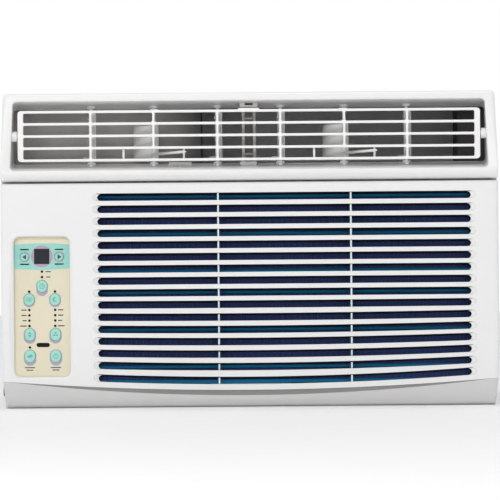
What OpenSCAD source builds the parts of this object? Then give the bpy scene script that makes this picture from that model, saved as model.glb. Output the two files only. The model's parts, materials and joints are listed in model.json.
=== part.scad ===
// Window air conditioner: cabinet, front, air outlet, controls, air path and refrigeration circuit.
// Millimetres. Front faces -Y, up is +Z, origin at the middle of the underside.

/* [Cabinet] */
// Width across the front
body_w = 474; // [470:1:482]
// Height of the front
body_h = 300; // [300:0.5:303]
// Depth from the front lip to the rear edge
body_d = 390; // [388:1:400]
// Steel sheet of the cabinet
sheet_t = 1.2; // [1:0.1:1.5]
// Wall of the plastic front mouldings
wall_t = 2.5; // [2:0.1:2.8]
// Length of one side vent louvre
vent_len = 52; // [40:1:56]

/* [Air outlet] */
// Thickness of the louvre bars
bar_t = 2.4; // [1.8:0.1:2.6]
// Front to back depth of the louvre bars
bar_d = 10; // [8:0.5:10]
// Angle of the vane levers at rest, to the right of straight ahead
lever_angle = 45; // [0:1:45]
// Blade length of the two lever vanes behind the pivot
wide_chord = 28; // [16:1:29]
// Blade length of the slim vanes behind the pivot
slim_chord = 3; // [3:0.5:10]

/* [Intake grille] */
// Height of one intake slot
slot_h = 6.9; // [5:0.1:7.2]
// Thickness of the upright ribs behind the slats
rib_t = 1.6; // [1.2:0.1:3]
// Pitch of the horizontal filter ribs
filter_pitch = 35.4; // [34:0.1:38]

/* [Controls] */
// Travel of the buttons
button_travel = 1; // [0.6:0.1:1]
// Gap round each button
button_gap = 0.35; // [0.3:0.05:0.5]

/* [Refrigeration] */
// Pitch of the cooling coil fins
evap_fin_pitch = 8; // [6:1:12]
// Pitch of the condenser fins
cond_fin_pitch = 9; // [7:1:12]
// Radius of the coil tubes
tube_r = 4.5; // [3.5:0.1:4.7]

/* [Hidden] */
$fn = 48;

front_y = -195;
rear_y = front_y + body_d;
half_w = body_w / 2;

// Air outlet
pivot_y = -178;
pivot_z = 259.4;
grid_half_w = 220.5;
grid_half_h = 24.3;
grid_member = 5.2;
bar_pitch = 11.55;
bar_count = 5;
pivot_pin_r = 2.5;
fit_gap = 0.05;
vane_y = -158.6;
vane_pin_r = 1.6;
vane_x = [-151, -91, -30, 30, 91, 151];
vane_base_z = 237.6;
crank_r = 9;
vane_lead = 5.5;
crank_pin_r = 1.2;
link_z = 235.2;
link_t = 2;
lever_stop = 28.8;
lever_len = 43.5;

// Intake grille
hinge_y = -173.5;
hinge_z = 10.5;
hinge_pin_r = 2;
arm_x = 229.3;
grille_back_y = -167;
grille_top_z = 214.2;
slot_x0 = -144.5;
slot_x1 = 210;
slot_z = [200.8, 189.3, 177.9, 166.4, 155, 143.6, 132.3, 120.9, 109.5, 98.1,
    85.9, 74.1, 62.5, 50.6, 38.6, 25.4];
slot_rise = [0, 0, 0, 0, 0, 0, 0, 0, 0, 0.5, 1.5, 2.2, 2.9, 3.6, 4.6, 6.8];
slot_ref_x = 205;
rib_x = [-29.9, 96.4];
window = [-224.7, -171.7, 30.3, 163.6];
window_r = 6;
// Side profile of the grille face, as depth and height
face = [[-191.5, grille_top_z], [-193.2, 212], [-193.5, 206], [-193.5, 100], [-193, 82],
    [-192, 64], [-190.6, 46], [-188.8, 28], [-187.2, 14], [-186.6, 9.5]];
chin = [[-188.6, 26], [-183.5, 14], [-181.6, 8.5], [-181.2, 5.5], [-180, 3.3], [-178, 1.7],
    [-175.5, 0.8]];
crease_r = 2640;
crease_z = 15.5;

// Controls
fascia_y = -185.5;
fascia_t = 2.5;
board_y = -175.2;
switch_h = 3.5;
led_r = 1.2;
button_front = 1.8;
button_flange = 0.9;

// Rotating parts share one axis
rotor_x = 33;
rotor_z = 130;
shaft_r = 4;
blower_r = 82;
fan_r = 106;

// Condenser and cooling coil
cond_y = [159, 175];
cond_z0 = 26;
cond_pitch = 28;
cond_rows = 10;
cond_half = 208;
evap_y = [-151, -133];
evap_z0 = 33;
evap_pitch = 22;
evap_rows = 8;
evap_x0 = -138;
evap_x1 = 207;

front_screw_y = -141.5;
front_screw_z = [110, 200];
skirt_t = 5.5;
gland_y = -156.8;
gland_z = 16;
gland_r = 4.8;
side_screw_y = [-100, 20, 150];
drain_pos = [190, 76];
drain_r = 7.5;
side_screw_z = 14;
compressor_x = -150;
compressor_y = 42;
comp_r = 55;
capillary_x = 225;

white = [0.93, 0.94, 0.94];
steel = [0.80, 0.81, 0.81];
copper = [0.80, 0.48, 0.30];
foam = [0.88, 0.88, 0.86];

module along_x(x0, x1) {
    translate([x0, 0, 0]) rotate([90, 0, 90]) linear_extrude(x1 - x0) children();
}

module along_y(y0, y1) {
    translate([0, y1, 0]) rotate([90, 0, 0]) linear_extrude(y1 - y0) children();
}

module block(x0, x1, y0, y1, z0, z1) {
    translate([x0, y0, z0]) cube([x1 - x0, y1 - y0, z1 - z0]);
}

module rod_x(x0, x1, y, z, r) {
    translate([x0, y, z]) rotate([0, 90, 0]) cylinder(r = r, h = x1 - x0);
}

module rod_y(x, y0, y1, z, r) {
    translate([x, y0, z]) rotate([-90, 0, 0]) cylinder(r = r, h = y1 - y0);
}

module rod_z(x, y, z0, z1, r) {
    translate([x, y, z0]) cylinder(r = r, h = z1 - z0);
}

module round_rect(x0, x1, z0, z1, r) {
    translate([x0 + r, z0]) square([x1 - x0 - 2 * r, z1 - z0]);
    translate([x0, z0 + r]) square([x1 - x0, z1 - z0 - 2 * r]);
    for (x = [x0 + r, x1 - r], z = [z0 + r, z1 - r]) translate([x, z]) circle(r);
}

// Oval made of two half discs and a straight middle
module oval(x, z, half_a, half_b) {
    straight = half_b - half_a;
    if (straight > 0) translate([x - half_a, z - straight]) square([2 * half_a, 2 * straight]);
    if (straight > 0) translate([x, z - straight]) circle(half_a);
    translate([x, z + straight]) circle(half_a);
}

// Pipe through a list of points, with a ball at each corner
module pipe(points, r) {
    for (i = [0:len(points) - 2]) {
        a = points[i];
        b = points[i + 1];
        d = b - a;
        n = norm(d);
        translate(a) rotate([0, acos(d[2] / n), atan2(d[1], d[0])]) cylinder(r = r, h = n);
    }
    for (i = [1:1:len(points) - 2]) translate(points[i]) sphere(r = r);
}

function shifted(points, dy, dz) = [for (p = points) [p[0] + dy, p[1] + dz]];

// ---------- Front ----------

module frame_outline() {
    polygon([[-half_w + 3, 0], [half_w - 3, 0], [half_w - 1, 20], [half_w - 0.2, 70], [half_w, 226],
        [half_w - 2.5, 296], [half_w - 5.5, body_h], [-half_w + 5.5, body_h],
        [-half_w + 2.5, 296], [-half_w, 226], [-half_w + 0.2, 70], [-half_w + 1, 20]]);
}

module frame_upper_shell() {
    profile = [[-135, body_h], [-178, body_h], [-181.5, 299], [-183.3, 296.5], [-192, 228.2],
        [-194.3, 226.3], [front_y, 224], [-194.5, 221.8], [-192.5, 220.4], [-189, 216.5],
        [-166.5, 215.5], [-135, 215.5]];
    cavity = [[-134, body_h - wall_t], [-178.6, body_h - wall_t], [-180.6, 295.5], [-189.4, 228],
        [-191.6, 224.3], [-190, 222.4], [-187.6, 219], [-134, 218.1]];
    difference() {
        intersection() {
            along_y(front_y, -135) frame_outline();
            along_x(-half_w, half_w) polygon(profile);
        }
        along_x(-half_w + 5.2, half_w - 5.2) polygon(cavity);
        side_sheet_slots();
    }
}

// Slots in the floor of the upper part for the side sheets of the cabinet
module side_sheet_slots() {
    for (s = [0, 1]) mirror([s, 0, 0]) block(half_w - 7.2, half_w - 5.2, -148.3, -134, 215, 219);
}

module outlet_tunnel_walls() {
    intersection() {
        along_x(-229.6, 229.6) polygon([[-149.4, 230.8], [-149.4, 287.8], [-182.2, 295.4],
            [-183.4, 295.6], [-191.8, 229], [-193.6, 226.5], [-191.5, 224]]);
        along_y(-194, -149.4) frame_outline();
    }
}

module outlet_tunnel_void() {
    intersection() {
        along_x(-230, 230) polygon([[-149, 285], [-183.6, 292.7], [-200, 296.3], [-200, 225.4],
            [-192, 226.7], [-149, 233.6]]);
        along_y(-200, -149) polygon([[-224.7, 296], [224.7, 296], [227.6, 222], [-227.6, 222]]);
    }
}

module frame_lower_ring() {
    difference() {
        intersection() {
            along_y(-166.5, -135) frame_outline();
            block(-half_w, half_w, -166.5, -135, 0, 218);
        }
        block(-half_w + skirt_t, half_w - skirt_t, -164, -134, wall_t, 215.5);
        along_y(-167, -163) round_rect(-150, 220, 14, 207, 6);
        along_y(-167, -163) round_rect(-230.6, -160, 24, 172, 4);
        for (z = front_screw_z) {
            rod_x(-250, 250, front_screw_y, z, 1.75);
            for (s = [-1, 1]) rod_x(s > 0 ? half_w - 2.4 : -half_w - 5, s > 0 ? half_w + 5 : -half_w + 2.4,
                front_screw_y, z, 4);
        }
        rod_x(-half_w - 1, -half_w + 7, gland_y, gland_z, gland_r);
        side_sheet_slots();
    }
}

module front_frame() {
    color(white) {
        difference() {
            union() {
                frame_upper_shell();
                outlet_tunnel_walls();
                for (s = [-1, 1]) {
                    rod_x(s > 0 ? 221.2 : -229.6, s > 0 ? 229.6 : -221.2, pivot_y, pivot_z, 5);
                }
            }
            difference() {
                outlet_tunnel_void();
                for (s = [-1, 1]) {
                    rod_x(s > 0 ? 221.2 : -229.6, s > 0 ? 229.6 : -221.2, pivot_y, pivot_z, 5);
                }
                for (x = vane_x) rod_z(x, vane_y, 226, 234.4, 4);
                for (x = vane_x) rod_z(x, vane_y, 286, 290, 4);
            }
            rod_x(-230, 230, pivot_y, pivot_z, pivot_pin_r + fit_gap);
            for (x = vane_x) rod_z(x, vane_y, 230.6, 288, vane_pin_r + fit_gap);
        }
        frame_lower_ring();
        // Hinge arms for the intake grille
        for (s = [-1, 1]) difference() {
            union() {
                rod_x(s * arm_x - 1.5, s * arm_x + 1.5, hinge_y, hinge_z, 3.2);
                block(s * arm_x - 1.5, s * arm_x + 1.5, hinge_y, -165, hinge_z - 3.2, hinge_z + 3.2);
            }
            rod_x(s * arm_x - 3, s * arm_x + 3, hinge_y, hinge_z, hinge_pin_r + fit_gap);
        }
    }
}

module outlet_duct() {
    color(foam) difference() {
        block(-228, 228, -149, -119, 227, 290);
        difference() {
            block(-226, 226, -150, -118, 233.6, 285);
            // Closed left part with a slanted guide into the open right part
            translate([0, 0, 228]) linear_extrude(60)
                polygon([[-227, -129], [-90, -129], [-46, -119], [-46, -118], [-227, -118]]);
            // Slanted end on the right, beside the blower outlet
            translate([0, 0, 228]) linear_extrude(60)
                polygon([[202, -119], [227, -128], [227, -118], [202, -118]]);
        }
    }
}

module duct_post() {
    post_y0 = -161;
    post_y1 = -154;
    side = [[post_y0, 231.75], [post_y1, 232.87], [post_y1, 286.05], [post_y0, 287.6]];
    color([0.62, 0.61, 0.59]) {
        for (s = [-1, 1]) along_x(s * 5.3 - 1.3, s * 5.3 + 1.3) polygon(side);
        for (z = [240.8, 274.7]) block(-4.2, 4.2, post_y0 + 1, post_y1 - 1, z, z + 1.8);
        // Slotted head that reaches forward under the ceiling
        difference() {
            along_x(-8.5, 8.5) polygon([[-175, 286.1], [-156, 286.1], [-156, 286.5], [-175, 290.7]]);
            block(-3.8, 3.8, -176, -164, 287.9, 290);
        }
    }
}

module sill_clips() {
    sill = [[-175, 225], [-160, 225], [-160, 231.9], [-175, 229.5]];
    color([0.90, 0.90, 0.89]) {
        difference() {
            along_y(-168.5, -164.5) {
                // Middle clip with flared feet
                polygon([[-10.2, 229], [-7.4, 232], [-8.6, 232], [-8.6, 234.1], [7.6, 234.1],
                    [7.6, 232], [6.4, 232], [9, 229]]);
                // Left clip
                polygon([[-78.2, 229], [-76.8, 232], [-76.8, 234.1], [-55, 234.1], [-55, 232],
                    [-53.6, 229]]);
            }
            along_x(-80, 12) polygon(sill);
        }
        // Three thin legs of the left clip along the sill
        for (x = [-69.9, -65.5, -61.1]) along_x(x - 0.5, x + 0.5) polygon([[-188, 227.4], [-188, 228],
            [-168, 231.6], [-168, 230.6]]);
    }
}

function bar_z(i) = pivot_z + (i - (bar_count - 1) / 2) * bar_pitch;

// Piece of an upright in the gap above one bar
module louver_stay(x, y_front, i) {
    block(x - 1, x + 1, y_front, pivot_y + bar_d / 2, bar_z(i) + bar_t / 2, bar_z(i + 1) - bar_t / 2);
}

// Side members with their pins, and the uprights between the bars
module louver_grid() {
    y0 = pivot_y - bar_d / 2;
    y1 = pivot_y + bar_d / 2;
    color([0.96, 0.97, 0.97]) {
        for (s = [-1, 1]) {
            a = s > 0 ? grid_half_w - grid_member : -grid_half_w;
            block(a, a + grid_member, y0, y1, pivot_z - grid_half_h, pivot_z + grid_half_h);
            rod_x(s > 0 ? grid_half_w : -228.6, s > 0 ? 228.6 : -grid_half_w, pivot_y, pivot_z, pivot_pin_r);
        }
        for (x = [-151, -30, 30, 151], i = [0:bar_count - 2]) louver_stay(x, y0, i);
        for (x = [-91, 91], i = [1:bar_count - 2]) louver_stay(x, y0, i);
        // Short bars in the bottom row limit the levers
        for (c = [-91, 91], s = [-1, 1]) louver_stay(c + s * lever_stop, y1 - 4, 0);
    }
}

// Long bars, which meet the side members and uprights at their faces
module louver_bars() {
    y0 = pivot_y - bar_d / 2;
    half = grid_half_w - grid_member;
    z1 = bar_z(bar_count - 1) + bar_t / 2;
    color([0.96, 0.97, 0.97]) {
        for (i = [0:bar_count - 1])
            block(-half, half, y0, y0 + bar_d, bar_z(i) - bar_t / 2, bar_z(i) + bar_t / 2);
        // Finger tab
        along_y(y0 - 1.5, y0 + 3) polygon([[-10.5, z1 - bar_t], [10.5, z1 - bar_t], [9.5, z1 + 1.2],
            [-9.5, z1 + 1.2]]);
    }
}

// One upright vane about its own axis, leading edge to the front
module vane_blade(chord, z_top) {
    corner = min(5, chord);
    difference() {
        union() {
            block(-0.9, 0.9, -vane_lead, chord, vane_base_z, z_top);
            rod_z(0, 0, vane_base_z, z_top, 2.2);
        }
        // Rounded upper rear corner
        difference() {
            block(-3, 3, chord - corner, chord + 1, z_top - corner, z_top + 1);
            rod_x(-4, 4, chord - corner, z_top - corner, corner);
        }
    }
    rod_z(0, 0, 231, vane_base_z + 1, vane_pin_r);
    rod_z(0, 0, z_top - 1, 287.6, vane_pin_r);
    rod_z(0, crank_r, 234.8, vane_base_z + 1, crank_pin_r);
    block(-1.4, 1.4, 0, crank_r + 1.4, vane_base_z, vane_base_z + 2);
    // Collar below the ceiling
    rod_z(0, 0, 275.2, 277.8, 3.4);
}

module vane_lever() {
    difference() {
        along_x(-2.3, 2.3) polygon([[1, 239.9], [1, 243.3], [-12, 243.8], [-lever_len + 1, 244.9],
            [-lever_len, 244.2], [-lever_len, 243], [-lever_len + 1, 242.4], [-12, 240.9]]);
        // Tapers in plan towards the tip
        for (s = [-1, 1]) translate([0, 0, 238]) linear_extrude(8)
            polygon([[s * 2.3, -8], [s * 1.3, -lever_len - 1], [s * 4, -lever_len - 1], [s * 4, -8]]);
    }
}

module placed_vane(i, chord, z_top, lever) {
    color([0.90, 0.90, 0.88]) translate([vane_x[i], vane_y, 0]) rotate([0, 0, lever_angle]) {
        vane_blade(chord, z_top);
        if (lever) vane_lever();
    }
}

module link_bar(first) {
    dx = -crank_r * sin(lever_angle);
    dy = crank_r * cos(lever_angle);
    color([0.82, 0.82, 0.80]) difference() {
        block(vane_x[first] + dx - 4, vane_x[first + 2] + dx + 4, vane_y + dy - 2.5, vane_y + dy + 2.5,
            link_z, link_z + link_t);
        for (i = [first:first + 2])
            rod_z(vane_x[i] + dx, vane_y + dy, link_z - 1, link_z + link_t + 1, crank_pin_r + fit_gap);
    }
}

// ---------- Intake grille and filter ----------

module grille_outline(inset) {
    polygon([[-half_w + 3.2 + inset, 0], [-half_w + 1.5 + inset, 18], [-half_w + 0.6 + inset, 40],
        [-half_w + 0.2 + inset, 70], [-half_w + 0.2 + inset, 216], [half_w - 0.2 - inset, 216],
        [half_w - 0.2 - inset, 70], [half_w - 0.6 - inset, 40], [half_w - 1.5 - inset, 18],
        [half_w - 3.2 - inset, 0]]);
}

module grille_slot(k) {
    z0 = slot_z[k];
    rise = slot_rise[k] / (slot_ref_x * slot_ref_x);
    steps = slot_rise[k] > 0 ? 14 : 1;
    xs = [for (i = [0:steps]) slot_x0 + (slot_x1 - slot_x0) * i / steps];
    polygon(concat([for (x = xs) [x, z0 - slot_h / 2 + rise * x * x]],
        [for (i = [steps:-1:0]) [xs[i], z0 + slot_h / 2 + rise * xs[i] * xs[i]]]));
    for (x = [slot_x0, slot_x1]) translate([x, z0 + rise * x * x]) circle(slot_h / 2);
}

module grille_body(dy, dz, inset) {
    top = grille_top_z - dz;
    rear = grille_back_y + (dy > 0 ? 6 : 0);
    intersection() {
        union() {
            intersection() {
                along_x(-half_w, half_w) polygon(concat(
                    shifted([for (p = face) [p[0], min(p[1], top)]], dy, 0),
                    [[rear, 9.5], [rear, top]]));
                translate([0, -150, crease_z + dz + crease_r]) rotate([90, 0, 0])
                    cylinder(r = crease_r, h = 60, $fn = 720);
            }
            along_x(-half_w, half_w) polygon(concat(shifted(chin, dy, dz),
                [[rear, 9 + dz], [rear, 40], [-185 + dy, 40]]));
        }
        along_y(-200, -150) grille_outline(inset);
    }
}

module intake_grille() {
    color(white) {
        difference() {
            union() {
                difference() {
                    grille_body(0, 0, 0);
                    grille_body(wall_t, wall_t, wall_t);
                }
                // Wall round the control window
                along_y(-192, -186)
                    round_rect(window[0] - 2, window[1] + 2, window[2] - 2, window[3] + 2, window_r + 2);
            }
            along_y(-200, -180) round_rect(window[0], window[1], window[2], window[3], window_r);
            along_y(-200, -180) for (k = [0:len(slot_z) - 1]) grille_slot(k);
            // Notches for the hinge arms
            for (s = [-1, 1]) block(s * arm_x - 2.2, s * arm_x + 2, -176.4, -160, 0, 12);
        }
        for (x = rib_x) along_x(x - rib_t / 2, x + rib_t / 2)
            polygon([[-191.5, 209], [-191.5, 100], [-188.6, 46], [-186, 21], [-182, 21], [-182, 209]]);
        // Ledges that hold the filter
        block(-160, 220, -191.4, -174, 208.2, 210.2);
        block(-120, 190, -186.4, -173, 20.2, 22.2);
        for (s = [-1, 1]) {
            end = half_w - 3;
            rod_x(s > 0 ? 227.5 : -end, s > 0 ? end : -227.5, hinge_y, hinge_z, hinge_pin_r);
            rod_x(s > 0 ? 231.5 : -end, s > 0 ? end : -231.5, hinge_y, hinge_z, 3.6);
        }
    }
}

module filter_frame() {
    color([0.05, 0.38, 0.55]) difference() {
        block(-151, 219, -179.5, -174, 22.4, 208);
        block(-147, 215, -180, -173, 26.4, 204);
    }
    color([0.05, 0.38, 0.55]) {
        for (s = [-1, 1], i = [0:2]) {
            z = 119.7 + s * (10.3 + i * filter_pitch);
            block(-148, 216, -179.5, -176.4, z - 2, z + 2);
        }
        for (x = rib_x) block(x - 2, x + 2, -179.5, -176.4, 26, 205);
    }
}

module filter_mesh() {
    wire = 0.6;
    gap = 18;
    color([0.12, 0.14, 0.28]) along_y(-176.4, -175.6) difference() {
        translate([-147, 26.4]) square([362, 177.6]);
        for (x = [-146:gap:197], z = [27:gap:186]) translate([x, z]) square([gap - wire, gap - wire]);
    }
}

// ---------- Controls ----------

// Name, x, z, half width, half height
buttons = [["button_temp_down", -214.6, 144.5, 3.9, 3.9], ["button_temp_up", -181.7, 144.5, 3.9, 3.9],
    ["button_timer", -198.2, 116.6, 4.75, 5.7], ["button_filter", -210.5, 103.9, 4.75, 5.6],
    ["button_sleep", -185.9, 103.9, 4.75, 5.6], ["button_mode", -210.2, 70.6, 4.75, 5.9],
    ["button_fan", -185.7, 70.6, 4.75, 5.9], ["button_saver", -210.1, 50, 4.9, 5.9],
    ["button_power", -185.5, 50, 4.9, 5.9]];
led_pos = concat([[-198.2, 130.5], [-198.2, 125.3], [-210.5, 111.5], [-185.9, 111.5], [-210.2, 58.3]],
    [for (x = [-210.5, -185.9], z = [94, 88.9, 83.9, 78.8]) [x, z]]);
display_pos = [-198.3, 145];
display_half = 7.35;
receiver_pos = [-197.6, 60.6];

module receiver_shape(g) {
    round_rect(receiver_pos[0] - 6.3 - g, receiver_pos[0] + 6.3 + g, receiver_pos[1] - 2 - g,
        receiver_pos[1] + 2 + g, 1.9);
}

module display_shape(g) {
    translate([display_pos[0] - display_half - g, display_pos[1] - display_half - g])
        square(2 * display_half + 2 * g);
}

module control_fascia() {
    color([0.90, 0.86, 0.77]) along_y(fascia_y, fascia_y + fascia_t) difference() {
        round_rect(-228, -168.5, 27, 167, 5);
        for (b = buttons) oval(b[1], b[2], b[3] + button_gap, b[4] + button_gap);
        for (p = led_pos) translate(p) circle(led_r);
        display_shape(0);
        receiver_shape(0);
    }
}

module display_window() {
    color([0.16, 0.16, 0.18]) along_y(fascia_y + 0.3, fascia_y + fascia_t) display_shape(0);
}

module receiver_window() {
    color([0.05, 0.05, 0.06]) along_y(fascia_y + 0.2, fascia_y + fascia_t) receiver_shape(0);
}

module indicator_leds() {
    color([0.08, 0.08, 0.08]) for (p = led_pos) rod_y(p[0], fascia_y - 0.2, fascia_y + fascia_t, p[1], led_r);
}

module push_button(i) {
    b = buttons[i];
    back_y = fascia_y + fascia_t + 0.5;
    stem_end = board_y - switch_h - button_travel - 0.3;
    color([0.64, 0.88, 0.82]) {
        along_y(fascia_y - button_front, back_y) oval(b[1], b[2], b[3], b[4]);
        along_y(back_y, back_y + 1) oval(b[1], b[2], b[3] + button_flange, b[4] + button_flange);
        rod_y(b[1], back_y + 1, max(stem_end, back_y + 1.2), b[2], 2);
    }
}

module control_box() {
    color([0.85, 0.85, 0.84]) difference() {
        block(-228, -162, fascia_y + fascia_t, -100, 26.4, 168.5);
        block(-226, -164, fascia_y + fascia_t - 1, -102, 28.4, 166.5);
        // Cable ways in the back and the floor
        rod_y(-180, -103, -99, 60, 6);
        rod_z(-195, -130, 25, 30, 6);
    }
}

module control_board() {
    color([0.10, 0.42, 0.24]) difference() {
        block(-226, -164, board_y, board_y + 1.6, 30, 165);
        for (x = [-222, -168], z = [34, 161]) rod_y(x, board_y - 1, board_y + 3, z, 1.6);
    }
    color([0.12, 0.12, 0.12]) {
        for (b = buttons) block(b[1] - 3, b[1] + 3, board_y - switch_h, board_y, b[2] - 3, b[2] + 3);
        block(-206, -190, board_y - 4, board_y, 138, 152);
        for (x = [-215, -190]) block(x, x + 14, board_y + 1.6, board_y + 17, 120, 145);
    }
}

module run_capacitor() {
    color(steel) rod_z(-185, -125, 31, 101, 17);
    color([0.2, 0.2, 0.2]) {
        rod_z(-185, -125, 28.4, 31, 18);
        rod_z(-185, -125, 101, 104, 15);
        for (x = [-190, -180]) block(x - 0.5, x + 0.5, -128, -122, 103, 111);
    }
}

// ---------- Cabinet ----------

rail_y = -60;
vent_banks_y = [42, 108];
vent_rows = 11;
vent_pitch = 15;
vent_z0 = 76;
top_vent_x = [-150, -30, 90];
top_vent_len = 84;
top_vent_y = [112, 128, 144, 160];

module hood_profile() {
    polygon([[-1.2, 3.2], [-1.2, 5], [0, 5], [3.3, -1.6], [2.5, -2.2], [0, 2.4]]);
}

module cabinet_wrap() {
    outer = half_w - 5.5;
    top = body_h - 3.5;
    color(steel) {
        difference() {
            along_y(-148, rear_y) difference() {
                round_rect(-outer, outer, -10, top, 8);
                round_rect(-outer + sheet_t, outer - sheet_t, -12, top - sheet_t, 8 - sheet_t);
                translate([-250, -20]) square([500, 24]);
            }
            for (y = vent_banks_y, i = [0:vent_rows - 1])
                block(-250, 250, y, y + vent_len, vent_z0 + i * vent_pitch - 2, vent_z0 + i * vent_pitch + 3);
            for (x = top_vent_x, y = top_vent_y) block(x - 12, x - 12 + top_vent_len, y - 2, y + 3, 280, 310);
            for (y = side_screw_y) rod_x(-250, 250, y, side_screw_z, 1.75);
            // Holes for the side curtain frames and the top sash rail
            for (z = [60, 240]) rod_x(-250, 250, rail_y, z, 2.1);
            for (x = [-150, 150]) rod_z(x, rail_y, 280, 310, 2.1);
            for (z = front_screw_z) rod_x(-250, 250, front_screw_y, z, 1.75);
        }
        // Rear flange
        along_y(rear_y - sheet_t, rear_y) difference() {
            translate([-outer + 0.6, 4]) square([2 * outer - 1.2, top - 4.6]);
            translate([-outer + 11, -1]) square([2 * outer - 22, top - 10]);
            for (s = [-1, 1]) translate([s * outer - 5, top - 5]) square([10, 10]);
        }
        for (s = [0, 1]) mirror([s, 0, 0]) translate([outer, 0, 0])
            for (y = vent_banks_y, i = [0:vent_rows - 1]) translate([0, 0, vent_z0 + i * vent_pitch])
                along_y(y, y + vent_len) hood_profile();
        for (x = top_vent_x, y = top_vent_y) translate([x - 12, y, top]) rotate([90, 0, 90])
            linear_extrude(top_vent_len)
                polygon([[3.2, -1.2], [5, -1.2], [5, 0], [-1.6, 2.6], [-2, 1.8], [2.4, 0]]);
    }
}

module base_pan() {
    x1 = half_w - 5.5 - sheet_t - 0.1;
    y0 = -134.5;
    y1 = rear_y - 2;
    color([0.72, 0.73, 0.73]) difference() {
        union() {
            difference() {
                block(-x1, x1, y0, y1, 0, 24);
                block(-x1 + 1.5, x1 - 1.5, y0 - 1, y1 - 1.5, 1.5, 30);
            }
            // Stamped ribs, drain collar and compressor studs
            for (x = [-60, 120]) block(x, x + 8, -100, -22, 1, 4);
            rod_z(drain_pos[0], drain_pos[1], 0, 8, drain_r + 2.5);
            for (p = foot_pos) rod_z(p[0], p[1], 1, 32, 3);
        }
        rod_z(drain_pos[0], drain_pos[1], -1, 9, drain_r);
        for (y = side_screw_y) rod_x(-250, 250, y, side_screw_z, 1.75);
    }
}

module rear_guard() {
    color(steel) along_y(rear_y - 2.4, rear_y - 1.2) difference() {
        round_rect(-226, 226, 25, 291, 4);
        for (c = [0:4], r = [0:23]) translate([-214 + c * 86.5, 34 + r * 10.6]) square([80, 6.4]);
    }
}

module cabinet_screws() {
    x = half_w - 5.5;
    color([0.66, 0.67, 0.68]) for (y = side_screw_y, s = [0, 1]) mirror([s, 0, 0]) difference() {
        union() {
            rod_x(x, x + 2, y, side_screw_z, 3.6);
            rod_x(x - 9, x + 1, y, side_screw_z, 1.72);
        }
        for (a = [0, 90]) translate([x + 2, y, side_screw_z]) rotate([a, 0, 0])
            cube([2, 0.9, 4], center = true);
    }
}

module front_screws() {
    x = half_w - 2.4;
    color([0.66, 0.67, 0.68]) for (z = front_screw_z, s = [0, 1]) mirror([s, 0, 0]) difference() {
        union() {
            rod_x(x, x + 1.8, front_screw_y, z, 3.6);
            rod_x(x - 6, x + 1, front_screw_y, z, 1.72);
        }
        for (a = [0, 90]) translate([x + 1.8, front_screw_y, z]) rotate([a, 0, 0])
            cube([2, 0.9, 4], center = true);
    }
}

module cord_gland() {
    color([0.15, 0.15, 0.15]) difference() {
        union() {
            rod_x(-half_w, -half_w + 6, gland_y, gland_z, gland_r);
            rod_x(-half_w + 5.5, -half_w + 8, gland_y, gland_z, 6.4);
        }
        rod_x(-half_w - 2, -half_w + 10, gland_y, gland_z, 3.6);
    }
}

// ---------- Cold side ----------

module drain_tray() {
    color(foam) difference() {
        block(-152, 222, -162.5, -121, wall_t + 0.1, 21.5);
        block(-148, 218, -158.5, -125, 8, 30);
        rod_y(150, -126, -120, 13, 4);
    }
}

module coil_fins(x0, x1, pitch, t, y0, y1, z0, z1, rows_y, first_z, row_pitch, rows) {
    n = floor((x1 - x0) / pitch);
    for (i = [0:n]) along_x(x0 + i * pitch, x0 + i * pitch + t) difference() {
        translate([y0, z0]) square([y1 - y0, z1 - z0]);
        for (y = rows_y, k = [0:rows - 1]) translate([y, first_z + k * row_pitch]) circle(tube_r + 0.02);
    }
}

// A half ring joining two tubes one above the other
module return_bend(x, y, z, pitch, side) {
    translate([x, y, z + pitch / 2]) rotate([90, 0, 0]) rotate([0, 0, side > 0 ? -90 : 90])
        rotate_extrude(angle = 180) translate([pitch / 2, 0]) circle(tube_r);
}

module coil_tubes(x0, x1, rows_y, first_z, row_pitch, rows, open_side) {
    for (y = rows_y) {
        for (k = [0:rows - 1]) rod_x(x0, x1, y, first_z + k * row_pitch, tube_r);
        for (k = [0:2:rows - 2])
            return_bend(open_side > 0 ? x0 : x1, y, first_z + k * row_pitch, row_pitch, -open_side);
        for (k = [1:2:rows - 3])
            return_bend(open_side > 0 ? x1 : x0, y, first_z + k * row_pitch, row_pitch, open_side);
    }
    // Crossover between the two layers at the bottom
    xe = open_side > 0 ? x1 : x0;
    dx = rows_y[1] - rows_y[0];
    translate([xe, rows_y[0] + dx / 2, first_z]) rotate([0, 0, open_side > 0 ? -90 : 90])
        rotate_extrude(angle = 180) translate([dx / 2, 0]) circle(tube_r);
}

module evaporator_fins() {
    color([0.10, 0.16, 0.42]) {
        coil_fins(evap_x0 + 6, evap_x1 - 8, evap_fin_pitch, 0.5, -160, -124, 22, 198, evap_y,
            evap_z0, evap_pitch, evap_rows);
        for (x = [evap_x0, evap_x1 - 2])
            coil_fins(x, x == evap_x0 ? x + 1 : x + 2, 5, 1.5, -161, -123, 21.6, 204,
                evap_y, evap_z0, evap_pitch, evap_rows);
    }
}

module evaporator_tubes() {
    color(copper) coil_tubes(evap_x0 - 2, evap_x1 + 2, evap_y, evap_z0, evap_pitch, evap_rows, 1);
}

module scroll_housing() {
    color(foam) difference() {
        block(-100, 208, -118, -20, 4.1, 289);
        along_y(-112, -19) {
            translate([rotor_x, rotor_z]) circle(98);
            polygon([[-65, 130], [131, 130], [202, 232], [202, 286], [-46, 286], [-46, 232]]);
        }
        along_y(-119, -111) {
            translate([rotor_x, rotor_z]) circle(72);
            translate([-46, 232]) square([248, 54]);
        }
    }
}

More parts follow.
